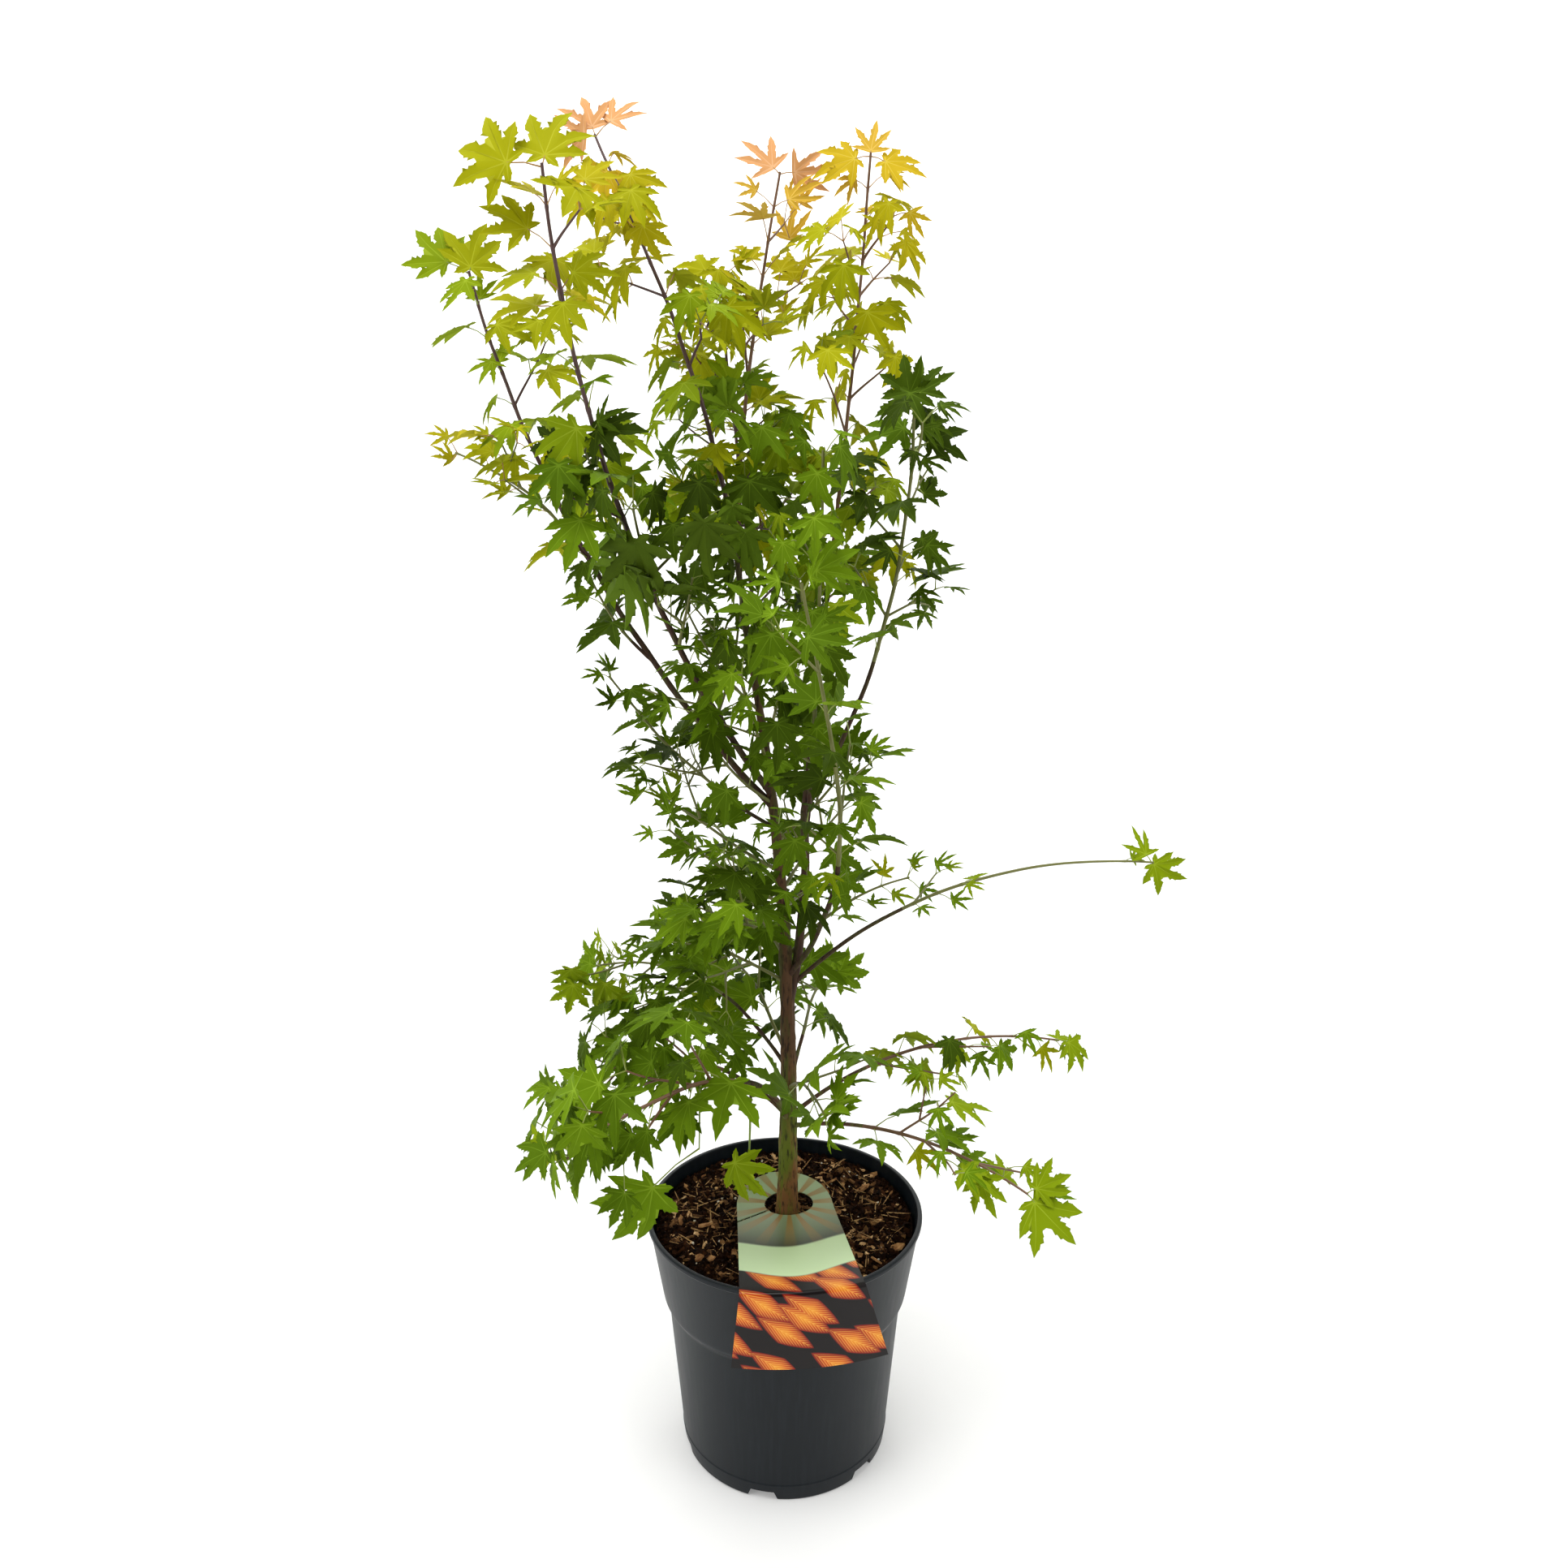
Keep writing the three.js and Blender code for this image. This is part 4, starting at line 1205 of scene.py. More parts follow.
class BladeForm:
    """The outline of a palmate leaf of length one, and the faces that fill it above and below.

    What varies from leaf to leaf is a spread, or a least and a greatest value.
    """

    throat = 0.035
    rib_width = 0.011
    rib_end = 1.1
    notch_depth = 0.76
    notch_step = 0.022
    foot_degrees = 158.0
    foot_reach = 0.07
    thickness = 0.45
    ragged = 0.1
    lobe_turn = 3.5
    lobe_bend = 0.12
    sag = (0.04, 0.24)
    sag_spread = 0.5
    fold = (0.2, 0.55)
    bay_fold = 0.3
    curl = (0.0, 0.14)
    twist = 0.12

    def __init__(self, half: tuple[Lobe, ...], sinuses: tuple[Pair, ...]) -> None:
        """Lays out the blade.

        Args:
            half: the middle lobe and those on its right.
            sinuses: direction and reach of the bay after each of those lobes but the last.
        """
        left = tuple(Lobe(-lobe.degrees, lobe.reach, lobe.teeth) for lobe in reversed(half[1:]))
        self.lobes = left + half
        bays = tuple((-angle, reach) for angle, reach in reversed(sinuses)) + sinuses
        ends = (self.foot_degrees, self.foot_reach)
        self.bays = ((-ends[0], ends[1]), *bays, ends)
        self.rows: list[tuple[float, float, float, float, float]] = []
        self.faces: list[tuple[int, ...]] = []
        self.ribs: list[bool] = []
        self.lay_faces()
        self.table = np.array(self.rows)

    def vertex(self, lobe: float, degrees: float, along: float, across: float = 0.0,
               under: float = 0.0) -> int:
        """Adds a vertex and gives its number.

        Args:
            lobe: the number of its lobe, or halfway between two.
            degrees: the direction that it is laid out on.
            along: how far out.
            across: how far to the right of that direction.
            under: one for a vertex of the lower side.

        Returns:
            The vertex number.
        """
        self.rows.append((lobe, degrees, along, across, under))
        return len(self.rows) - 1

    def face(self, *corners: int, rib: bool = False) -> None:
        """Adds a face, and notes whether it takes the paler tint of ribs and underside."""
        self.faces.append(corners)
        self.ribs.append(rib)

    def lay_faces(self) -> None:
        """Lays the throat, the bays, the lobes and the foot."""
        throat = [self.vertex(i - 0.5, angle, self.throat) for i, (angle, _) in enumerate(self.bays)]
        bays = [self.vertex(i - 0.5, angle, reach) for i, (angle, reach) in enumerate(self.bays)]
        centre = self.vertex(len(self.lobes) / 2 - 0.5, 0.0, 0.0, 0.0, 1.0)
        self.face(*reversed(throat), rib=True)
        for number, lobe in enumerate(self.lobes):
            self.lay_lobe(number, lobe, throat, bays, centre)
        self.face(bays[0], bays[-1], throat[-1], throat[0])
        self.face(bays[-1], bays[0], centre, rib=True)

    def lay_lobe(self, number: int, lobe: Lobe, throat: list[int], bays: list[int], centre: int) -> None:
        """Lays one lobe: its rib, both its toothed sides, and the two faces of its lower side.

        Args:
            number: the lobe's number, from the left.
            lobe: its facts.
            throat: vertex numbers round the stalk's end.
            bays: vertex numbers of the bays between the lobes.
            centre: the vertex under the stalk's end.
        """
        tip = self.vertex(number, lobe.degrees, lobe.reach)
        spots = [along - self.notch_step for along, _ in lobe.teeth]
        keels = [self.vertex(number, lobe.degrees, spot * lobe.reach, 0.0, 1.0) for spot in spots[1::2]]
        rails = []
        for hand in (-1, 1):
            rail = [self.vertex(number, lobe.degrees, spot * lobe.reach,
                                hand * self.rib_width * (self.rib_end - spot)) for spot in spots]
            edge = []
            for along, half_width in lobe.teeth:
                edge.append(self.vertex(number, lobe.degrees, along * lobe.reach, hand * half_width))
                edge.append(self.vertex(number, lobe.degrees, (along + self.notch_step) * lobe.reach,
                                        hand * half_width * self.notch_depth))
            side = number if hand < 0 else number + 1
            rail, edge = [throat[side], *rail], [bays[side], *edge]
            self.lay_side(hand, rail, edge, tip)
            under = [*edge, tip, *reversed(keels), centre]
            self.face(*(under if hand < 0 else reversed(under)), rib=True)
            rails.append(rail)
        self.face(*rails[1], tip, *reversed(rails[0]), rib=True)

    def lay_side(self, hand: int, rail: list[int], edge: list[int], tip: int) -> None:
        """Fills one side of a lobe between its rib and its toothed edge.

        Args:
            hand: one on the right, minus one on the left.
            rail: vertices along the rib.
            edge: the bay, and then each tooth and its notch.
            tip: the lobe's tip.
        """
        fills = [(rail[place - 1], *edge[2 * place - 2:2 * place + 1], rail[place])
                 for place in range(1, len(rail))]
        for fill in [*fills, (rail[-1], edge[-1], tip)]:
            self.face(*(fill if hand > 0 else reversed(fill)))

    def shaped(self, leaf: Leaf) -> np.ndarray:
        """Bends the blade as one leaf has it.

        Args:
            leaf: the leaf's place, size and shape number.

        Returns:
            The vertices in the plant's space.
        """
        draw = np.random.default_rng(leaf.shape)
        count = len(self.lobes)
        lobe, degrees, along, across, under = self.table.T
        numbers = np.arange(count)
        angle = np.radians(degrees + np.interp(lobe, numbers, draw.normal(0, self.lobe_turn, count)))
        bend = np.interp(lobe, numbers, draw.normal(0, self.lobe_bend, count))
        sag = draw.uniform(*self.sag) * (1 + draw.normal(0, self.sag_spread, count))
        sag = np.interp(lobe, numbers, sag)
        fold, curl = draw.uniform(*self.fold), draw.uniform(*self.curl)
        twist = draw.normal(0, self.twist)
        ragged = across * (1 + draw.normal(0, self.ragged, len(across)))
        bay = lobe != np.round(lobe)
        wide = ragged + np.where(bay, 0.0, bend * along ** 2)
        x = along * np.sin(angle) + wide * np.cos(angle)
        y = along * np.cos(angle) - wide * np.sin(angle)
        z = fold * np.where(bay, along * self.bay_fold, np.abs(ragged)) - sag * along ** 2 - curl * along ** 3
        z += twist * x * y - under * self.thickness / leaf.length
        return leaf.base + leaf.length * (
            x[:, None] * leaf.side + y[:, None] * leaf.out + z[:, None] * leaf.normal)


GROWN_BLADE = BladeForm(
    (Lobe(0, 1.0, ((0.49, 0.13), (0.61, 0.16), (0.73, 0.128), (0.85, 0.07))),
     Lobe(36, 0.9, ((0.51, 0.125), (0.62, 0.152), (0.73, 0.12), (0.85, 0.068))),
     Lobe(74, 0.66, ((0.54, 0.105), (0.67, 0.122), (0.81, 0.066))),
     Lobe(117, 0.32, ((0.56, 0.075), (0.77, 0.05)))),
    ((18, 0.45), (55, 0.35), (96, 0.2)))
YOUNG_BLADE = BladeForm(
    (Lobe(0, 1.0, ((0.42, 0.088), (0.6, 0.108), (0.78, 0.062))),
     Lobe(39, 0.84, ((0.42, 0.086), (0.6, 0.102), (0.78, 0.058))),
     Lobe(84, 0.52, ((0.5, 0.075), (0.74, 0.052)))),
    ((19, 0.26), (61, 0.21)))


@dataclass(frozen=True)
class SoftStalk:
    """The stalk of a leaf: thin, a little arched, and wider at its foot."""

    radii: Triple = (0.62, 0.42, 0.5)
    arch: float = 0.06
    sunk: float = 0.6
    usual_leaf: float = 45.0
    thickness: Pair = (0.55, 0.45)

    def stem(self, leaf: Leaf) -> Stem:
        """Gives the stalk as a short stem from its root to the blade's base.

        Args:
            leaf: the leaf that it carries.

        Returns:
            The stem, thicker for a larger leaf.
        """
        middle = (leaf.root + leaf.base) / 2 + UP * self.arch * np.linalg.norm(leaf.base - leaf.root)
        least, more = self.thickness
        radii = np.array(self.radii) * (least + more * (leaf.length / self.usual_leaf))
        end = leaf.base - leaf.normal * radii[2] * self.sunk
        return Stem(Path(np.array((leaf.root, middle, end))), radii)


class LimbTool:
    """Geometry Nodes that give wires a round section, by a radius at each point, and the bark's relief."""

    strand_stretch = (1.0, 1.0, 0.2)
    strand_seed = 4.0

    def __init__(self) -> None:
        """Builds the tree."""
        tool = GeometryTool("limbs", {
            "Sides": "Int", "Fissure Depth": "Float", "Fissure Width": "Float", "Seed": "Float",
            "Material": "Material"})
        given = tool.given
        wires = tool.add("GeometryNodeMeshToCurve", {"Mesh": given["Geometry"]})
        ring = tool.add("GeometryNodeCurvePrimitiveCircle", {"Resolution": given["Sides"], "Radius": 1.0})
        radius = tool.add("GeometryNodeInputNamedAttribute", {"Name": "radius"}, data_type="FLOAT")
        tube = tool.add("GeometryNodeCurveToMesh", {
            "Curve": wires, "Profile Curve": ring, "Scale": radius, "Fill Caps": True})
        place = tool.add("ShaderNodeVectorMath", {
            0: tool.add("GeometryNodeInputPosition").outputs["Position"], 1: self.strand_stretch},
            operation="MULTIPLY")
        fineness = tool.add("ShaderNodeMath", {0: 1.0, 1: given["Fissure Width"]}, operation="DIVIDE")
        strands = tool.add("ShaderNodeTexNoise", {
            "Vector": place, "W": given["Seed"], "Scale": fineness, "Detail": 3.0}, noise_dimensions="4D")
        centred = tool.add("ShaderNodeMath", {0: strands, 1: 0.5}, operation="SUBTRACT")
        depth = tool.add("ShaderNodeMath", {0: centred, 1: given["Fissure Depth"]}, operation="MULTIPLY")
        shift = tool.add("ShaderNodeVectorMath", {
            0: tool.add("GeometryNodeInputNormal").outputs["Normal"], "Scale": depth}, operation="SCALE")
        rough = tool.add("GeometryNodeSetPosition", {"Geometry": tube, "Offset": shift})
        tool.close(rough.outputs["Geometry"])
        self.tool = tool

    def make(self, name: str, stems: list[Stem], material: Material, sides: int,
             depth: float = 0.0, width: float = 2.0) -> Object:
        """Makes one piece of many stems.

        Args:
            name: the piece's name.
            stems: what it is made of.
            material: its bark.
            sides: points round each section.
            depth: of the relief, in millimetres.
            width: of one strand of bark, in millimetres.

        Returns:
            The piece.
        """
        points = np.vstack([stem.path.points for stem in stems])
        edges, first = [], 0
        for stem in stems:
            last = first + len(stem.path.points) - 1
            edges += [(i, i + 1) for i in range(first, last)]
            first = last + 1
        piece = add_piece(name, points, [], [], edges=edges)
        radius = piece.data.attributes.new("radius", "FLOAT", "POINT")
        radius.data.foreach_set("value", np.concatenate([stem.radii for stem in stems]) * MM)
        self.tool.run(piece, {"Sides": sides, "Fissure Depth": depth * MM, "Fissure Width": width * MM,
                              "Seed": self.strand_seed, "Material": material})
        smooth(piece, 50.0)
        return piece


@dataclass
class Timber:
    """The trunk and the boughs, with the bark's relief."""

    trunk_sides: int = 44
    trunk_step: float = 1.6
    bough_sides: int = 14
    bough_step: float = 2.4

    @staticmethod
    def refined(stem: Stem, step: float) -> Stem:
        """Gives the same stem with its points no further apart than a step.

        Args:
            stem: the stem.
            step: in millimetres.

        Returns:
            The finer stem.
        """
        count = max(2, math.ceil(stem.path.length / step))
        shares = np.union1d(np.linspace(0, 1, count + 1), stem.path.along / stem.path.length)
        points = np.array([stem.path.point(share) for share in shares])
        return Stem(Path(points), np.interp(shares * stem.path.length, stem.path.along, stem.radii))

    def build(self, plant: MaplePlant, limbs: LimbTool) -> None:
        """Makes the trunk and the boughs.

        Args:
            plant: the grown plant.
            limbs: the tool that gives them their sections.
        """
        bark = MapleBark("maple_bark", brown="#7c5630", olive="#5c661a", fissure="#22150b",
                         olive_levels=(0.455, 0.575)).make()
        young = MapleBark("young_maple_bark", brown="#5c4030", olive="#656a34", fissure="#33251e",
                          olive_levels=(0.47, 0.59), strand_mm=1.4).make()
        trunk = limbs.make("trunk_with_bark", [self.refined(plant.trunk, self.trunk_step)], bark,
                           self.trunk_sides, depth=2.4, width=2.4)
        seat(trunk, ["trunk"])
        boughs = [self.refined(stem, self.bough_step) for stem in plant.boughs.values()]
        wood = limbs.make("boughs", boughs, young, self.bough_sides, depth=0.45, width=1.8)
        seat(wood, [f"bough_{name}" for name in plant.boughs])


@dataclass
class Foliage:
    """The leafy stems, twigs, leaf stalks and leaves, each kind in pieces of its own."""

    stem_sides: int = 9
    twig_sides: int = 6
    stalk_sides: int = 5
    young_length: float = 21.0
    young_tone: float = 8.5
    pink_tone: float = 5.0

    def build(self, plant: MaplePlant, limbs: LimbTool) -> None:
        """Makes all of the foliage.

        Args:
            plant: the grown plant.
            limbs: the tool that gives stems and stalks their sections.
        """
        masses = [f"leaves_{name}" for name in plant.growths if name not in SPURS]
        for bark in TwigBark:
            material = bark.make()
            for kind, wood, sides in (("stems", plant.stems, self.stem_sides),
                                      ("twigs", plant.twigs, self.twig_sides)):
                alike = [stem for stem in wood if stem.bark is bark]
                if alike:
                    name = f"{kind}_{bark.name.lower()}"
                    seat(limbs.make(name, alike, material, sides), masses)
        for tint in StalkTint:
            pink = tint is StalkTint.PINK
            stalks = [SoftStalk().stem(leaf) for leaf in plant.leaves if (leaf.tone > self.pink_tone) == pink]
            seat(limbs.make(f"leaf_stalks_{tint.name.lower()}", stalks, tint.make(), self.stalk_sides),
                 masses)
        tints = list(LeafTint)
        dealt: dict[LeafTint, list[Leaf]] = {tint: [] for tint in tints}
        for leaf in plant.leaves:
            dealt[tints[min(max(round(leaf.tone), 0), len(tints) - 1)]].append(leaf)
        for tint, leaves in dealt.items():
            if leaves:
                seat(self.blades(tint, leaves), masses)
        log.info("leaves: %d, twigs: %d", len(plant.leaves), len(plant.twigs))

    def blades(self, tint: LeafTint, leaves: list[Leaf]) -> Object:
        """Joins the blades of one tint into a piece.

        Args:
            tint: their colour.
            leaves: their places.

        Returns:
            The piece.
        """
        rows, faces, slots, first = [], [], [], 0
        for leaf in leaves:
            young = leaf.length < self.young_length or leaf.tone > self.young_tone
            form = YOUNG_BLADE if young else GROWN_BLADE
            rows.append(form.shaped(leaf))
            faces += [tuple(corner + first for corner in face) for face in form.faces]
            slots += [int(rib) for rib in form.ribs]
            first += len(form.table)
        piece = add_piece(f"leaves_{tint.name.lower()}", np.vstack(rows), faces, tint.make(), slots)
        smooth(piece, 48.0)
        return piece


def turned_faces(rings: int, count: int, inner_first: bool = False) -> list[tuple[int, ...]]:
    """Lays the faces of a closed turned shape, whose vertices are its rings and then its two poles.

    Args:
        rings: how many rings there are, from the pole at the bottom, outside, to the one above it.
        count: points on each ring.
        inner_first: whether the rings run the other way, from the pole at the top.

    Returns:
        The faces.
    """
    first_pole, last_pole, last = rings * count, rings * count + 1, (rings - 1) * count
    faces = []
    for i in range(count):
        j = (i + 1) % count
        faces += [(first_pole, j, i), (last_pole, last + i, last + j)]
        faces += [(k + i, k + j, k + count + j, k + count + i) for k in range(0, last, count)]
    return [(face[0], *reversed(face[1:])) for face in faces] if inner_first else faces


def prism_faces(count: int, first: int = 0) -> list[tuple[int, ...]]:
    """Lays the faces of a closed prism between two outlines.

    Args:
        count: points on each outline.
        first: the number of the lower outline's first vertex.

    Returns:
        The lower end, the upper end and the sides.
    """
    low, high = range(first, first + count), range(first + count, first + 2 * count)
    sides = [(low[i], low[(i + 1) % count], high[(i + 1) % count], high[i]) for i in range(count)]
    return [tuple(reversed(low)), tuple(high), *sides]


def lathe(name: str, profile: list[Pair], segments: int, materials: list[Material]) -> Object:
    """Turns a profile about the upright axis into a closed piece.

    Args:
        name: the piece's name.
        profile: radius and height of each point, from the axis at the bottom, outside, to the axis again.
        segments: points round the axis.
        materials: the piece's materials.

    Returns:
        The piece.
    """
    angles = np.arange(segments) / segments * 2 * math.pi
    ring = np.stack((np.cos(angles), np.sin(angles)), axis=1)
    inner = profile[1:-1]
    rows = [np.column_stack((ring * radius, np.full(segments, height))) for radius, height in inner]
    poles = np.array([(0, 0, profile[0][1]), (0, 0, profile[-1][1])])
    return add_piece(name, np.vstack([*rows, poles]), turned_faces(len(inner), segments), materials)


def rounded(corners: list[Triple], steps: int = 5, most: float = 0.49) -> list[Pair]:
    """Rounds the corners of a profile.

    Args:
        corners: radius, height and rounding of each corner.
        steps: points on each rounding.
        most: the share of a side that a rounding may take.

    Returns:
        Radius and height of each point.
    """
    points = [corners[0][:2]]
    for before, here, after in zip(corners, corners[1:], corners[2:]):
        corner = np.array(here[:2])
        ways = [np.array(other[:2]) - corner for other in (before, after)]
        lengths = [float(np.linalg.norm(way)) for way in ways]
        if here[2] == 0:
            points.append(tuple(corner))
            continue
        start, end = (corner + way / length * min(here[2], length * most)
                      for way, length in zip(ways, lengths))
        for t in np.linspace(0, 1, steps):
            points.append(tuple((1 - t) ** 2 * start + 2 * t * (1 - t) * corner + t * t * end))
    return [*points, corners[-1][:2]]


@dataclass
class NurseryPot:
    """The moulded pot: rim bead, deep band, rounded step, tapering wall, floor, and notches in its foot."""

    height: float = 176.0
    rim_radius: float = 95.4
    neck: float = 93.9
    band_foot: float = 118.0
    band_foot_radius: float = 85.5
    wall_top: float = 112.5
    wall_top_radius: float = 81.5
    base_radius: float = 72.0
    ridge_height: float = 13.0
    ridge: float = 0.35
    wall: float = 2.0
    floor: float = 9.0
    segments: int = 160
    notches: int = 6
    first_notch: float = -102.0
    notch_widths: Pair = (22.0, 16.0)
    notch_height: float = 7.0
    notch_depths: Pair = (-9.0, 4.0)

    def profile(self) -> list[Pair]:
        """Draws half the section, from the axis under the floor round to the axis above it.

        Returns:
            Radius and height of each point.
        """
        inner_neck = self.neck - self.wall
        slope = (self.wall_top_radius - self.base_radius) / self.wall_top
        low = self.base_radius + slope * self.ridge_height
        # Each corner is a radius, a height and a rounding
        foot = [(0, 0, 0), (self.base_radius - 1.2, 0, 0.5), (self.base_radius, 1.5, 0.8)]
        ridge = [(low + self.ridge, self.ridge_height - 0.4, 0.3), (low, self.ridge_height + 0.5, 0.3)]
        step = [(self.wall_top_radius, self.wall_top, 1.6),
                (self.band_foot_radius - 0.6, self.band_foot - 0.4, 1.6),
                (self.band_foot_radius, self.band_foot + 2.5, 1.2)]
        bead = [(self.neck - 0.2, self.height - 4.6, 0.6), (self.rim_radius, self.height - 3.6, 0.9),
                (self.rim_radius, self.height - 0.4, 1.1), (inner_neck + 0.4, self.height - 0.2, 0.8),
                (inner_neck, self.height - 2.4, 0.8)]
        inside = [(self.band_foot_radius - self.wall, self.band_foot + 1.5, 1.0),
                  (self.wall_top_radius - self.wall, self.wall_top, 1.0),
                  (self.base_radius - self.wall, self.floor, 1.0), (0, self.floor, 0)]
        return rounded([*foot, *ridge, *step, *bead, *inside])

    def cutter(self) -> Object:
        """Makes the wedges that cut the notches, as one mesh.

        Returns:
            The cutter, which is removed after its cut.
        """
        half, top = (width / 2 for width in self.notch_widths)
        outline = ((-half, -1.0), (half, -1.0), (top, self.notch_height), (-top, self.notch_height))
        vertices, faces = [], []
        for number in range(self.notches):
            angle = math.radians(self.first_notch + 360 / self.notches * number)
            way, side = (math.cos(angle), math.sin(angle)), (-math.sin(angle), math.cos(angle))
            faces += prism_faces(len(outline), len(vertices))
            for depth in self.notch_depths:
                out = self.base_radius + depth
                vertices += [(way[0] * out + side[0] * x, way[1] * out + side[1] * x, z)
                             for x, z in outline]
        return add_piece("notch_cutter", np.array(vertices), faces, [])

    def build(self) -> None:
        """Makes the pot."""
        pot = lathe("nursery_pot", self.profile(), self.segments, [MouldedPolypropylene().make()])
        cutter = self.cutter()
        recalculate(cutter)
        cut = pot.modifiers.new("notches", "BOOLEAN")
        cut.operation, cut.object, cut.solver = "DIFFERENCE", cutter, "EXACT"
        baked(pot)
        bpy.data.objects.remove(cutter)
        smooth(pot, 32.0)
        seat(pot, ["pot"])


def recalculate(piece: Object) -> None:
    """Turns a closed mesh's faces outwards.

    Args:
        piece: its object.
    """
    work = bmesh.new()
    work.from_mesh(piece.data)
    bmesh.ops.recalc_face_normals(work, faces=work.faces)
    work.to_mesh(piece.data)
    work.free()


class ChipTool:
    """Geometry Nodes that strew small shapes over the compost, each turned and sized by chance."""

    def __init__(self) -> None:
        """Builds the tree."""
        tool = GeometryTool("strewing", {
            "Chip": "Object", "Density": "Float", "Seed": "Int", "Smallest": "Float", "Largest": "Float",
            "Tip": "Float", "Lift": "Float", "Material": "Material"})
        given = tool.given
        spots = tool.add("GeometryNodeDistributePointsOnFaces", {
            "Mesh": given["Geometry"], "Density": given["Density"], "Seed": given["Seed"]})
        chip = tool.add("GeometryNodeObjectInfo", {"Object": given["Chip"]})
        lean = tool.add("ShaderNodeMath", {0: given["Tip"], 1: -1.0}, operation="MULTIPLY")
        low = tool.add("ShaderNodeCombineXYZ", {"X": lean, "Y": lean})
        high = tool.add("ShaderNodeCombineXYZ", {"X": given["Tip"], "Y": given["Tip"], "Z": 2 * math.pi})
        turn = tool.add("FunctionNodeRandomValue", {
            0: low, 1: high, "Seed": given["Seed"]}, data_type="FLOAT_VECTOR")
        size = tool.add("FunctionNodeRandomValue", {
            2: given["Smallest"], 3: given["Largest"], "Seed": given["Seed"]}, data_type="FLOAT")
        rise = tool.add("ShaderNodeCombineXYZ", {"Z": given["Lift"]})
        raised = tool.add("GeometryNodeSetPosition", {"Geometry": spots, "Offset": rise})
        strewn = tool.add("GeometryNodeInstanceOnPoints", {
            "Points": raised, "Instance": chip.outputs["Geometry"],
            "Rotation": turn, "Scale": size.outputs[1]})
        tool.close(strewn.outputs["Instances"])
        self.tool = tool


@dataclass(frozen=True)
class Litter:
    """One kind of shred in the compost: its shape, how many, its finish, and its tip in radians."""

    name: str
    size: Triple
    per_square_cm: float
    seed: int
    finish: BarkChip
    scale: Pair = (0.5, 1.3)
    tip: float = 0.45
    lift: float = 0.3


LITTER = (
    Litter("bark_crumbs", (4.2, 3.0, 2.4), 15.0, 3, BarkChip("bark_crumb", "#0a0402", "#221005"), tip=1.2),
    Litter("dark_chips", (7.5, 3.4, 1.6), 6.0, 5, BarkChip("dark_bark_chip", "#150904", "#391f0e"), tip=0.7),
    Litter("brown_chips", (10.5, 3.6, 1.6), 1.9, 7, BarkChip("brown_bark_chip", "#40291a", "#70502f"),
           tip=0.6),
    Litter("curled_chips", (13.0, 4.6, 1.5), 0.28, 9, BarkChip("orange_bark_chip", "#6e4a2c", "#a67c50"),
           tip=0.6, lift=1.4),
    Litter("pale_chips", (8.0, 2.6, 0.9), 0.55, 11, BarkChip("pale_wood_chip", "#a67c50", "#cfaa7c", 0.7),
           lift=1.0),
    Litter("fibres", (20.0, 0.7, 0.6), 1.1, 13, BarkChip("bark_fibre", "#7d5b38", "#b39061", 0.7), tip=0.35,
           lift=1.6),
    Litter("white_grains", (1.5, 1.3, 1.1), 0.22, 17, BarkChip("fertiliser_grain", "#b5ab96", "#d8cfbc", 0.6),
           lift=1.8),
)


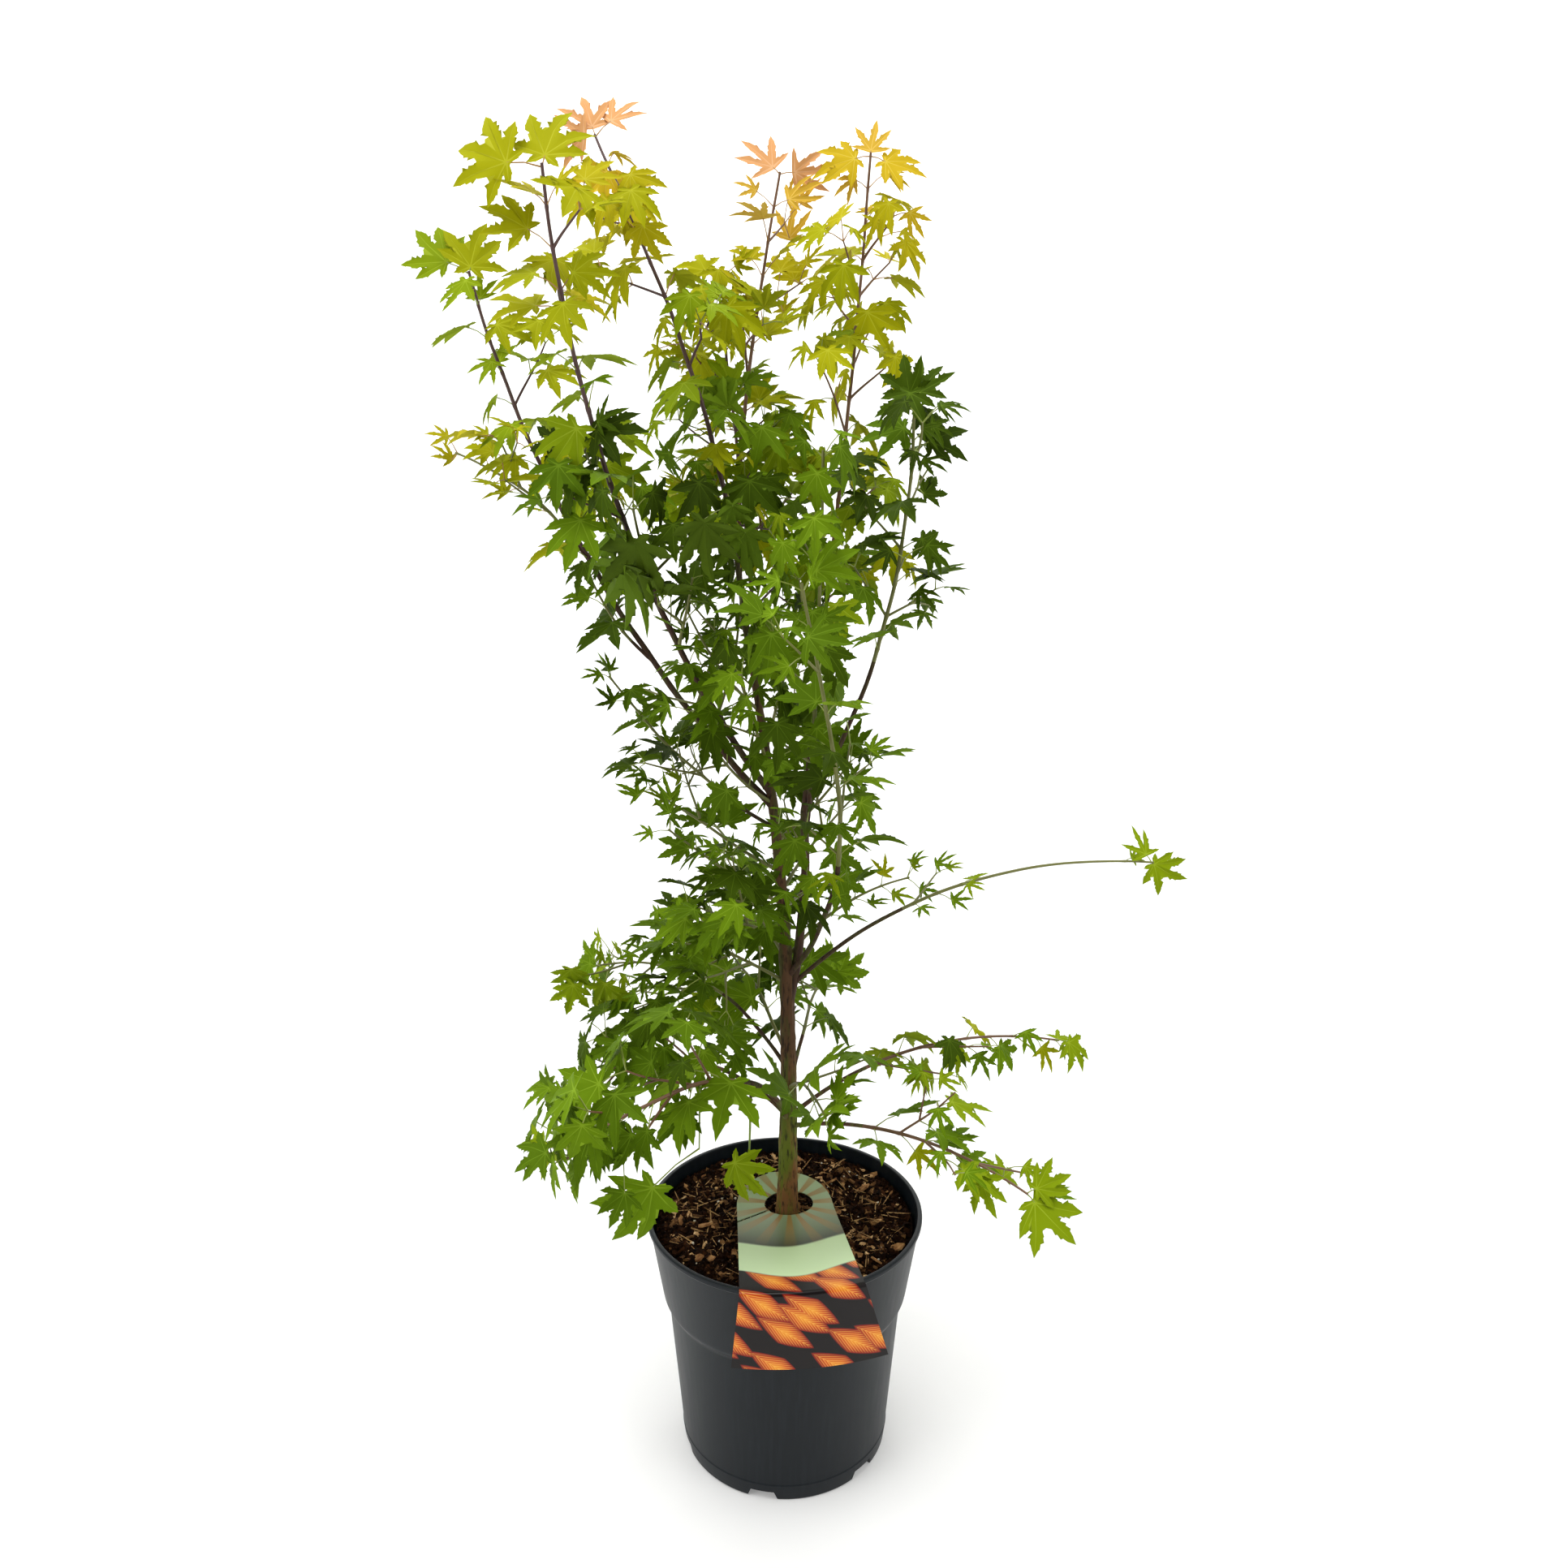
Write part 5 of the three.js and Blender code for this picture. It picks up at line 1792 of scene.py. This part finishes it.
@dataclass
class Compost:
    """Bark compost: an uneven bed, strewn with crumbs, chips, fibres and a few pale grains."""

    level: float = 167.0
    radius: float = 89.0
    foot: float = 150.0
    rings: int = 44
    segments: int = 150
    broad_waves: Triple = (0.7, 9.0, 11.0)
    short_waves: Triple = (0.5, 4.1, 5.3)
    lumps: float = 0.52
    edge_share: float = 0.9
    edge_sink: float = 12.0
    foot_share: float = 0.97
    strewn_radius: float = 88.5
    strewn_level: float = 0.3
    broken: Pair = (0.06, 0.1)

    def surface(self, radius: np.ndarray, angle: np.ndarray, draw: np.random.Generator) -> np.ndarray:
        """Gives the height at each place: broad and short waves, lumps, and an edge that sinks to the wall.

        Args:
            radius: distance from the axis.
            angle: the way round.
            draw: for the lumps.

        Returns:
            The heights.
        """
        x, y = radius * np.cos(angle), radius * np.sin(angle)
        (high, long, wide), (low, short, narrow) = self.broad_waves, self.short_waves
        waves = high * np.sin(x / long + 1) * np.sin(y / wide) + low * np.sin(x / short + y / narrow)
        sink = -self.edge_sink * np.clip(radius / self.radius - self.edge_share, 0, None)
        return self.level + waves + sink + draw.normal(0, self.lumps, radius.shape)

    def bed(self) -> Object:
        """Makes the bed as a thick disc whose foot is hidden in the pot.

        Returns:
            The bed.
        """
        draw = np.random.default_rng(8)
        angles = np.arange(self.segments) / self.segments * 2 * math.pi
        rows = []
        for radius in np.linspace(self.radius / self.rings, self.radius, self.rings):
            ring = np.full(self.segments, radius)
            heights = self.surface(ring, angles, draw)
            rows.append(np.column_stack((radius * np.cos(angles), radius * np.sin(angles), heights)))
        low = rows[-1] * (self.foot_share, self.foot_share, 0)
        low[:, 2] = self.foot
        rows.append(low)
        poles = np.array([(0, 0, self.level), (0, 0, self.foot)])
        faces = turned_faces(len(rows), self.segments, inner_first=True)
        bed = add_piece("compost_bed", np.vstack([*rows, poles]), faces, [CompostedBark().make()])
        smooth(bed, 60.0)
        return bed

    def shred(self, litter: Litter) -> Object:
        """Makes the one shape that a kind of litter repeats: a slab with broken, tapering ends.

        Args:
            litter: the kind.

        Returns:
            The shape, which is removed when it has been strewn.
        """
        long, wide, thick = litter.size
        draw = random.Random(litter.seed)
        ends, sides = self.broken
        ring = [(-0.5, -0.2), (-0.2, -0.5), (0.3, -0.42), (0.5, 0.05), (0.25, 0.5), (-0.35, 0.4)]
        vertices = []
        for level in (-0.5, 0.5):
            vertices += [((x + draw.uniform(-ends, ends)) * long, (y + draw.uniform(-sides, sides)) * wide,
                          level * thick * draw.uniform(0.5, 1.0)) for x, y in ring]
        return add_piece(f"shape_of_{litter.name}", np.array(vertices), prism_faces(len(ring)), [])

    def strew(self, bed: Object, litter: Litter, tool: ChipTool) -> Object:
        """Strews one kind of litter over the bed.

        Args:
            bed: the bed of compost.
            litter: what is strewn.
            tool: the nodes that do it.

        Returns:
            The piece.
        """
        ground = bed.data
        reach = self.strewn_radius - litter.size[0] / 2
        centres = [(face.vertices, face.center) for face in ground.polygons
                   if face.normal.z > self.strewn_level]
        faces = [tuple(corners) for corners, centre in centres if centre.xy.length < reach * MM]
        used = sorted({corner for face in faces for corner in face})
        number = {old: new for new, old in enumerate(used)}
        vertices = np.array([ground.vertices[i].co for i in used]) / MM
        piece = add_piece(litter.name, vertices, [tuple(number[c] for c in face) for face in faces], [])
        shape = self.shred(litter)
        small, large = litter.scale
        tool.tool.run(piece, {
            "Chip": shape, "Density": litter.per_square_cm * SQUARE_CM_PER_M, "Seed": litter.seed,
            "Smallest": small, "Largest": large, "Tip": litter.tip, "Lift": litter.lift * MM,
            "Material": litter.finish.make()})
        bpy.data.objects.remove(shape)
        return piece

    def build(self) -> None:
        """Makes the bed and all that is strewn over it."""
        bed = self.bed()
        tool = ChipTool()
        for litter in LITTER:
            seat(self.strew(bed, litter, tool), ["soil"])
        seat(bed, ["soil"])


@dataclass(frozen=True)
class PrintedPolypropylene:
    """Printed polypropylene sheet: smooth, a little glossy, with a plain design of bands, rays, leaflets."""

    sheet: tuple[tuple[float, str], ...] = (
        (0.1, "#94a67e"), (0.3, "#6c7757"), (0.4, "#3c4130"), (0.41, "#b9cf9e"), (0.575, "#c6dcae"),
        (0.585, "#0f0606"))
    leaflet: tuple[tuple[float, str], ...] = (
        (0.08, "#e08a28"), (0.3, "#c44e18"), (0.51, "#861c10"), (0.55, "#0c0505"))
    ray: str = "#8c6a34"
    rib: str = "#f0bc50"
    roughness: float = 0.3
    hole: Triple = (-0.53, -0.297, 0.0)
    length_per_width: float = 1.78
    swing: Pair = (6.6, 1.6)
    swing_height: float = 0.03
    rays: int = 15
    leaflets_at: float = 0.578
    leaflet_turn: float = 0.95
    leaflet_rows: Triple = (5.4, 9.6, 1.0)
    leaflet_slimness: Triple = (1.0, 0.42, 1.0)
    vein_slope: float = -0.8
    vein_gap: float = 0.035

    def make(self) -> Material:
        """Makes the material. The print lies on the sheet's own UV map, whose V runs down from its back end.

        Returns:
            The material.
        """
        material, tree, shader = new_material(
            "printed_polypropylene", Roughness=self.roughness, IOR=1.49, Specular_IOR_Level=0.25)
        place = add_node(tree, "ShaderNodeTexCoord").outputs["UV"]
        way = add_node(tree, "ShaderNodeSeparateXYZ", {"Vector": place})
        swing = add_node(tree, "ShaderNodeMath", {0: way.outputs["X"], 1: self.swing[0], 2: self.swing[1]},
                         operation="MULTIPLY_ADD")
        wave = add_node(tree, "ShaderNodeMath", {0: swing}, operation="SINE")
        down = add_node(tree, "ShaderNodeMath", {
            0: wave, 1: self.swing_height, 2: way.outputs["Y"]}, operation="MULTIPLY_ADD")
        ground = add_node(tree, "ShaderNodeValToRGB", {"Fac": down})
        around = add_node(tree, "ShaderNodeMapping", {
            "Vector": place, "Location": self.hole, "Scale": (1.0, self.length_per_width, 1.0)})
        angle = add_node(tree, "ShaderNodeTexGradient", {"Vector": around}, gradient_type="RADIAL")
        spokes = add_node(tree, "ShaderNodeMath", {0: angle.outputs["Fac"], 1: 0.5 / self.rays},
                          operation="PINGPONG")
        near = add_node(tree, "ShaderNodeTexGradient", {"Vector": around}, gradient_type="SPHERICAL")
        ray = add_node(tree, "ShaderNodeMapRange", {"Value": spokes, "From Min": 0.016, "From Max": 0.022})
        fade = add_node(tree, "ShaderNodeMapRange", {
            "Value": near.outputs["Fac"], "From Min": 0.5, "From Max": 0.8, "To Max": 0.85})
        share = add_node(tree, "ShaderNodeMath", {0: ray, 1: fade}, operation="MULTIPLY")
        upper = add_node(tree, "ShaderNodeMix", {
            "Factor": share, 6: ground, 7: linear(self.ray)}, data_type="RGBA")
        slanted = add_node(tree, "ShaderNodeMapping", {
            "Vector": place, "Rotation": (0, 0, self.leaflet_turn), "Scale": self.leaflet_rows})
        slender = add_node(tree, "ShaderNodeMapping", {"Vector": slanted, "Scale": self.leaflet_slimness})
        cells = add_node(tree, "ShaderNodeTexVoronoi", {
            "Vector": slender, "Scale": 1.15, "Exponent": 1.2, "Randomness": 0.7},
            voronoi_dimensions="2D", distance="MINKOWSKI")
        leaflets = add_node(tree, "ShaderNodeValToRGB", {"Fac": cells})
        within = add_node(tree, "ShaderNodeVectorMath", {
            0: slender, 1: cells.outputs["Position"]}, operation="SUBTRACT")
        spot = add_node(tree, "ShaderNodeSeparateXYZ", {"Vector": within})
        aside = add_node(tree, "ShaderNodeMath", {0: spot.outputs["X"]}, operation="ABSOLUTE")
        slope = add_node(tree, "ShaderNodeMath", {
            0: aside, 1: self.vein_slope, 2: spot.outputs["Y"]}, operation="MULTIPLY_ADD")
        veins = add_node(tree, "ShaderNodeMath", {0: slope, 1: self.vein_gap}, operation="PINGPONG")
        nearest = add_node(tree, "ShaderNodeMath", {0: aside, 1: veins}, operation="MINIMUM")
        line = add_node(tree, "ShaderNodeMapRange", {
            "Value": nearest, "From Min": 0.004, "From Max": 0.014, "To Min": 0.6, "To Max": 0.0})
        inside = add_node(tree, "ShaderNodeMapRange", {
            "Value": cells, "From Min": 0.38, "From Max": 0.52, "To Min": 1.0, "To Max": 0.0})
        ribs = add_node(tree, "ShaderNodeMath", {0: line, 1: inside}, operation="MULTIPLY")
        ribbed = add_node(tree, "ShaderNodeMix", {
            "Factor": ribs, 6: leaflets, 7: linear(self.rib)}, data_type="RGBA")
        lower = add_node(tree, "ShaderNodeMapRange", {
            "Value": down, "From Min": self.leaflets_at, "From Max": self.leaflets_at + 0.006})
        ink = add_node(tree, "ShaderNodeMix", {
            "Factor": lower, 6: upper.outputs[2], 7: ribbed.outputs[2]}, data_type="RGBA")
        for ramp, stops in ((ground, self.sheet), (leaflets, self.leaflet)):
            elements = ramp.color_ramp.elements
            for _ in stops[2:]:
                elements.new(1.0)
            for element, (at, colour) in zip(elements, stops):
                element.position, element.color = at, linear(colour)
        tree.links.new(ink.outputs[2], shader.inputs["Base Color"])
        return material


@dataclass
class PlantLabel:
    """The stiff label: a hole for the trunk with a slit, a level run to the rim, and a bowed drop over it.

    The hole is given by its length, depth and shift, and the slit by its width, start, end and degrees.
    """

    thickness: float = 0.5
    turn: float = 7.0
    back: float = 30.0
    back_rise: float = 8.0
    rise_end: float = 48.0
    drop: float = 52.0
    bend: float = 2.5
    lift: float = 0.9
    slant: float = 5.0
    pot_height: float = NurseryPot.height
    rim_radius: float = NurseryPot.rim_radius + 0.1
    widths: Triple = (67.0, 79.0, 101.0)
    arch: float = 34.0
    arch_power: float = 2.4
    end_share: float = 0.25
    bow: float = 190.0
    hole: Triple = (34.0, 25.0, 3.0)
    hole_points: int = 40
    slit: tuple[float, float, float, float] = (1.6, 4.0, 60.0, 205.0)
    cut_heights: Pair = (-12.0, 20.0)
    cut_margin: float = 0.5
    columns: int = 26

    @property
    def edge(self) -> float:
        """Where the level run turns down, out from the axis."""
        return self.rim_radius - self.bend + self.lift

    @property
    def level(self) -> float:
        """How long the level run is."""
        return self.back + self.edge

    @property
    def arc(self) -> float:
        """How long the bend is."""
        return math.pi / 2 * self.bend

    def line(self, distance: float) -> Pair:
        """Gives a place on the sheet's middle line.

        Args:
            distance: how far it is from the back end.

        Returns:
            Its y and z.
        """
        top = self.pot_height + self.lift
        if distance < self.level:
            return self.back - distance, top + self.back_rise * max(0.0, 1 - distance / self.rise_end) ** 2
        angle = min(math.pi / 2, (distance - self.level) / self.bend)
        y = -self.edge - self.bend * math.sin(angle)
        z = top - self.bend * (1 - math.cos(angle))
        return y, z - max(0.0, distance - self.level - self.arc)

    def half_width(self, distance: float) -> float:
        """Gives half the sheet's width.

        Args:
            distance: how far from the back end.

        Returns:
            The half width.
        """
        hole, rim, bottom = self.widths
        if distance < self.arch:
            share = 1 - distance / self.arch
            return hole / 2 * math.sqrt(max(self.end_share ** 2, 1 - share ** self.arch_power))
        whole = self.level + self.arc + self.drop
        return float(np.interp(distance, (self.arch, self.level, whole), (hole, rim, bottom))) / 2

    def sheet(self) -> Object:
        """Makes the sheet without its thickness, with its UV map.

        Returns:
            The piece.
        """
        whole = self.level + self.arc + self.drop
        bend = np.linspace(self.level, self.level + self.arc, 9)
        back = self.arch * np.linspace(0, 1, 14) ** 2
        run, drop = np.linspace(self.arch, self.level, 18), np.linspace(bend[-1], whole, 12)
        rows = np.concatenate((back, run[1:-1], bend, drop[1:]))
        vertices, uvs = [], []
        for distance in rows:
            y, z = self.line(distance)
            front = min(max(-y / self.rim_radius, 0.0), 1.0)
            aside = self.slant * max(0.0, distance - self.level) / self.drop
            for column in np.linspace(-1, 1, self.columns + 1):
                across = column * self.half_width(distance)
                vertices.append((across + aside, y + front ** 3 * across * across / (2 * self.bow), z))
                uvs.append((0.5 + across / self.widths[2], distance / whole))
        width = self.columns + 1
        faces = [(r * width + c, (r + 1) * width + c, (r + 1) * width + c + 1, r * width + c + 1)
                 for r in range(len(rows) - 1) for c in range(self.columns)]
        sheet = add_piece("plant_label", np.array(vertices), faces, [PrintedPolypropylene().make()])
        chart = sheet.data.uv_layers.new(name="print")
        chart.data.foreach_set("uv", [x for loop in sheet.data.loops for x in uvs[loop.vertex_index]])
        return sheet

    def cutter(self) -> Object:
        """Makes the oval that pierces the hole and the blade that cuts the slit, as one mesh.

        Returns:
            The cutter, which is removed after its cut.
        """
        long, deep, shift = self.hole
        wide, start, end, degrees = self.slit
        oval = [(shift + long / 2 * math.cos(a), deep / 2 * math.sin(a))
                for a in np.arange(self.hole_points) / self.hole_points * 2 * math.pi]
        way = np.array((math.cos(math.radians(degrees)), math.sin(math.radians(degrees))))
        side = np.array((-way[1], way[0])) * wide / 2
        blade = [way * start - side, way * end - side, way * end + side, way * start + side]
        low, high = (self.pot_height + height for height in self.cut_heights)
        vertices, faces = [], []
        # The blade is a little higher than the oval, so that no two of their faces lie in one plane
        for outline, more in ((oval, 0.0), (blade, self.cut_margin)):
            faces += prism_faces(len(outline), len(vertices))
            for height in (low - more, high + more):
                vertices += [(x, y, height) for x, y in outline]
        return add_piece("label_cutter", np.array(vertices), faces, [])

    def build(self) -> None:
        """Makes the label."""
        label = self.sheet()
        wall = label.modifiers.new("thickness", "SOLIDIFY")
        wall.thickness, wall.offset = self.thickness * MM, 0.0
        cutter = self.cutter()
        cut = label.modifiers.new("hole and slit", "BOOLEAN")
        cut.operation, cut.object, cut.solver, cut.use_self = "DIFFERENCE", cutter, "EXACT", True
        baked(label)
        bpy.data.objects.remove(cutter)
        angle = math.radians(self.turn)
        for vertex in label.data.vertices:
            x, y, z = vertex.co
            vertex.co = (x * math.cos(angle) - y * math.sin(angle),
                         x * math.sin(angle) + y * math.cos(angle), z)
        smooth(label, 40.0)
        seat(label, ["label"])


@dataclass
class Studio:
    """A pale sweep, soft light from above and both sides, and the camera where the photograph was taken.

    The sweep's sizes are in millimetres, and the camera's and the lamps' places in metres.
    """

    lens: float = 27.95
    sensor: float = 36.0
    camera: Triple = (-0.0004, -0.757, 0.659)
    pitch: float = 13.4
    floor: str = "#dadad8"
    glow: float = 0.22
    sky: Pair = (0.2, 0.85)
    half_width: float = 4000.0
    near: float = -3000.0
    curve: float = 900.0
    top: float = 4500.0
    steps: int = 20

    def backdrop(self) -> None:
        """Makes the floor, which curves up into a wall far behind."""
        turn = np.linspace(0, math.pi / 2, self.steps)
        y = np.concatenate(((self.near,), self.curve * (1 + np.sin(turn)), (2 * self.curve,)))
        z = np.concatenate(((0.0,), self.curve * (1 - np.cos(turn)), (self.top,)))
        vertices = [(x, b, c) for b, c in zip(y, z) for x in (-self.half_width, self.half_width)]
        faces = [(2 * i, 2 * i + 1, 2 * i + 3, 2 * i + 2) for i in range(len(y) - 1)]
        paper = new_material("lit_white_sweep", Base_Color=linear(self.floor), Roughness=0.9,
                             Emission_Color=(1, 1, 1, 1), Emission_Strength=self.glow)[0]
        sweep = add_piece("sweep", np.array(vertices), faces, [paper])
        smooth(sweep, 80.0)

    def lamp(self, name: str, place: Triple, size: float, power: float, aim: Triple = (0, 0, 0.45)) -> None:
        """Hangs one soft lamp.

        Args:
            name: the lamp's name.
            place: where it hangs, in metres.
            size: its side, in metres.
            power: in watts.
            aim: what it faces, in metres, which is the plant unless given.
        """
        data = bpy.data.lights.new(name, "AREA")
        data.size, data.energy = size, power
        lamp = bpy.data.objects.new(name, data)
        lamp.location = place
        lamp.rotation_euler = (Vector(aim) - lamp.location).to_track_quat("-Z", "Y").to_euler()
        bpy.context.scene.collection.objects.link(lamp)

    def build(self) -> None:
        """Sets the floor, the lamps, the sky and the camera."""
        self.backdrop()
        self.lamp("top_light", (-0.4, -0.4, 3.4), size=2.0, power=84)
        self.lamp("left_light", (-1.9, -1.2, 1.3), size=1.2, power=21)
        self.lamp("right_light", (1.8, -1.0, 1.2), size=1.2, power=15)
        self.lamp("wall_light", (0, 0.9, 2.3), size=1.6, power=40, aim=(0, 2.4, 2.0))
        scene = bpy.context.scene
        world = bpy.data.worlds.new("white_room")
        world.use_nodes = True
        tree = world.node_tree
        tree.nodes.clear()
        place = add_node(tree, "ShaderNodeTexCoord").outputs["Generated"]
        way = add_node(tree, "ShaderNodeSeparateXYZ", {"Vector": place})
        # The room is dim on the camera's side, so the pot's front stays dark and its edges catch the light
        level = add_node(tree, "ShaderNodeMapRange", {
            "Value": way.outputs["Y"], "From Min": -0.8, "From Max": 0.2, "To Min": self.sky[0],
            "To Max": self.sky[1]})
        white = add_node(tree, "ShaderNodeBackground", {"Color": (1, 1, 1, 1), "Strength": level})
        add_node(tree, "ShaderNodeOutputWorld", {"Surface": white})
        scene.world = world
        scene.view_settings.view_transform = "Standard"
        camera = bpy.data.cameras.new("camera")
        camera.lens, camera.sensor_width = self.lens, self.sensor
        eye = bpy.data.objects.new("camera", camera)
        eye.location = self.camera
        eye.rotation_euler = (math.radians(90 - self.pitch), 0, 0)
        scene.collection.objects.link(eye)
        scene.camera = eye


def main() -> None:
    """Builds the pot, the compost, the label, the plant and the studio, in this order."""
    logging.basicConfig(level=logging.INFO, format="%(message)s")
    box = np.array([tuple(corner) for corner in CAD_BOX]) / MM
    NurseryPot().build()
    Compost().build()
    PlantLabel().build()
    plant = MaplePlant(box)
    limbs = LimbTool()
    Timber().build(plant, limbs)
    Foliage().build(plant, limbs)
    Studio().build()


if __name__ == "__main__":
    main()
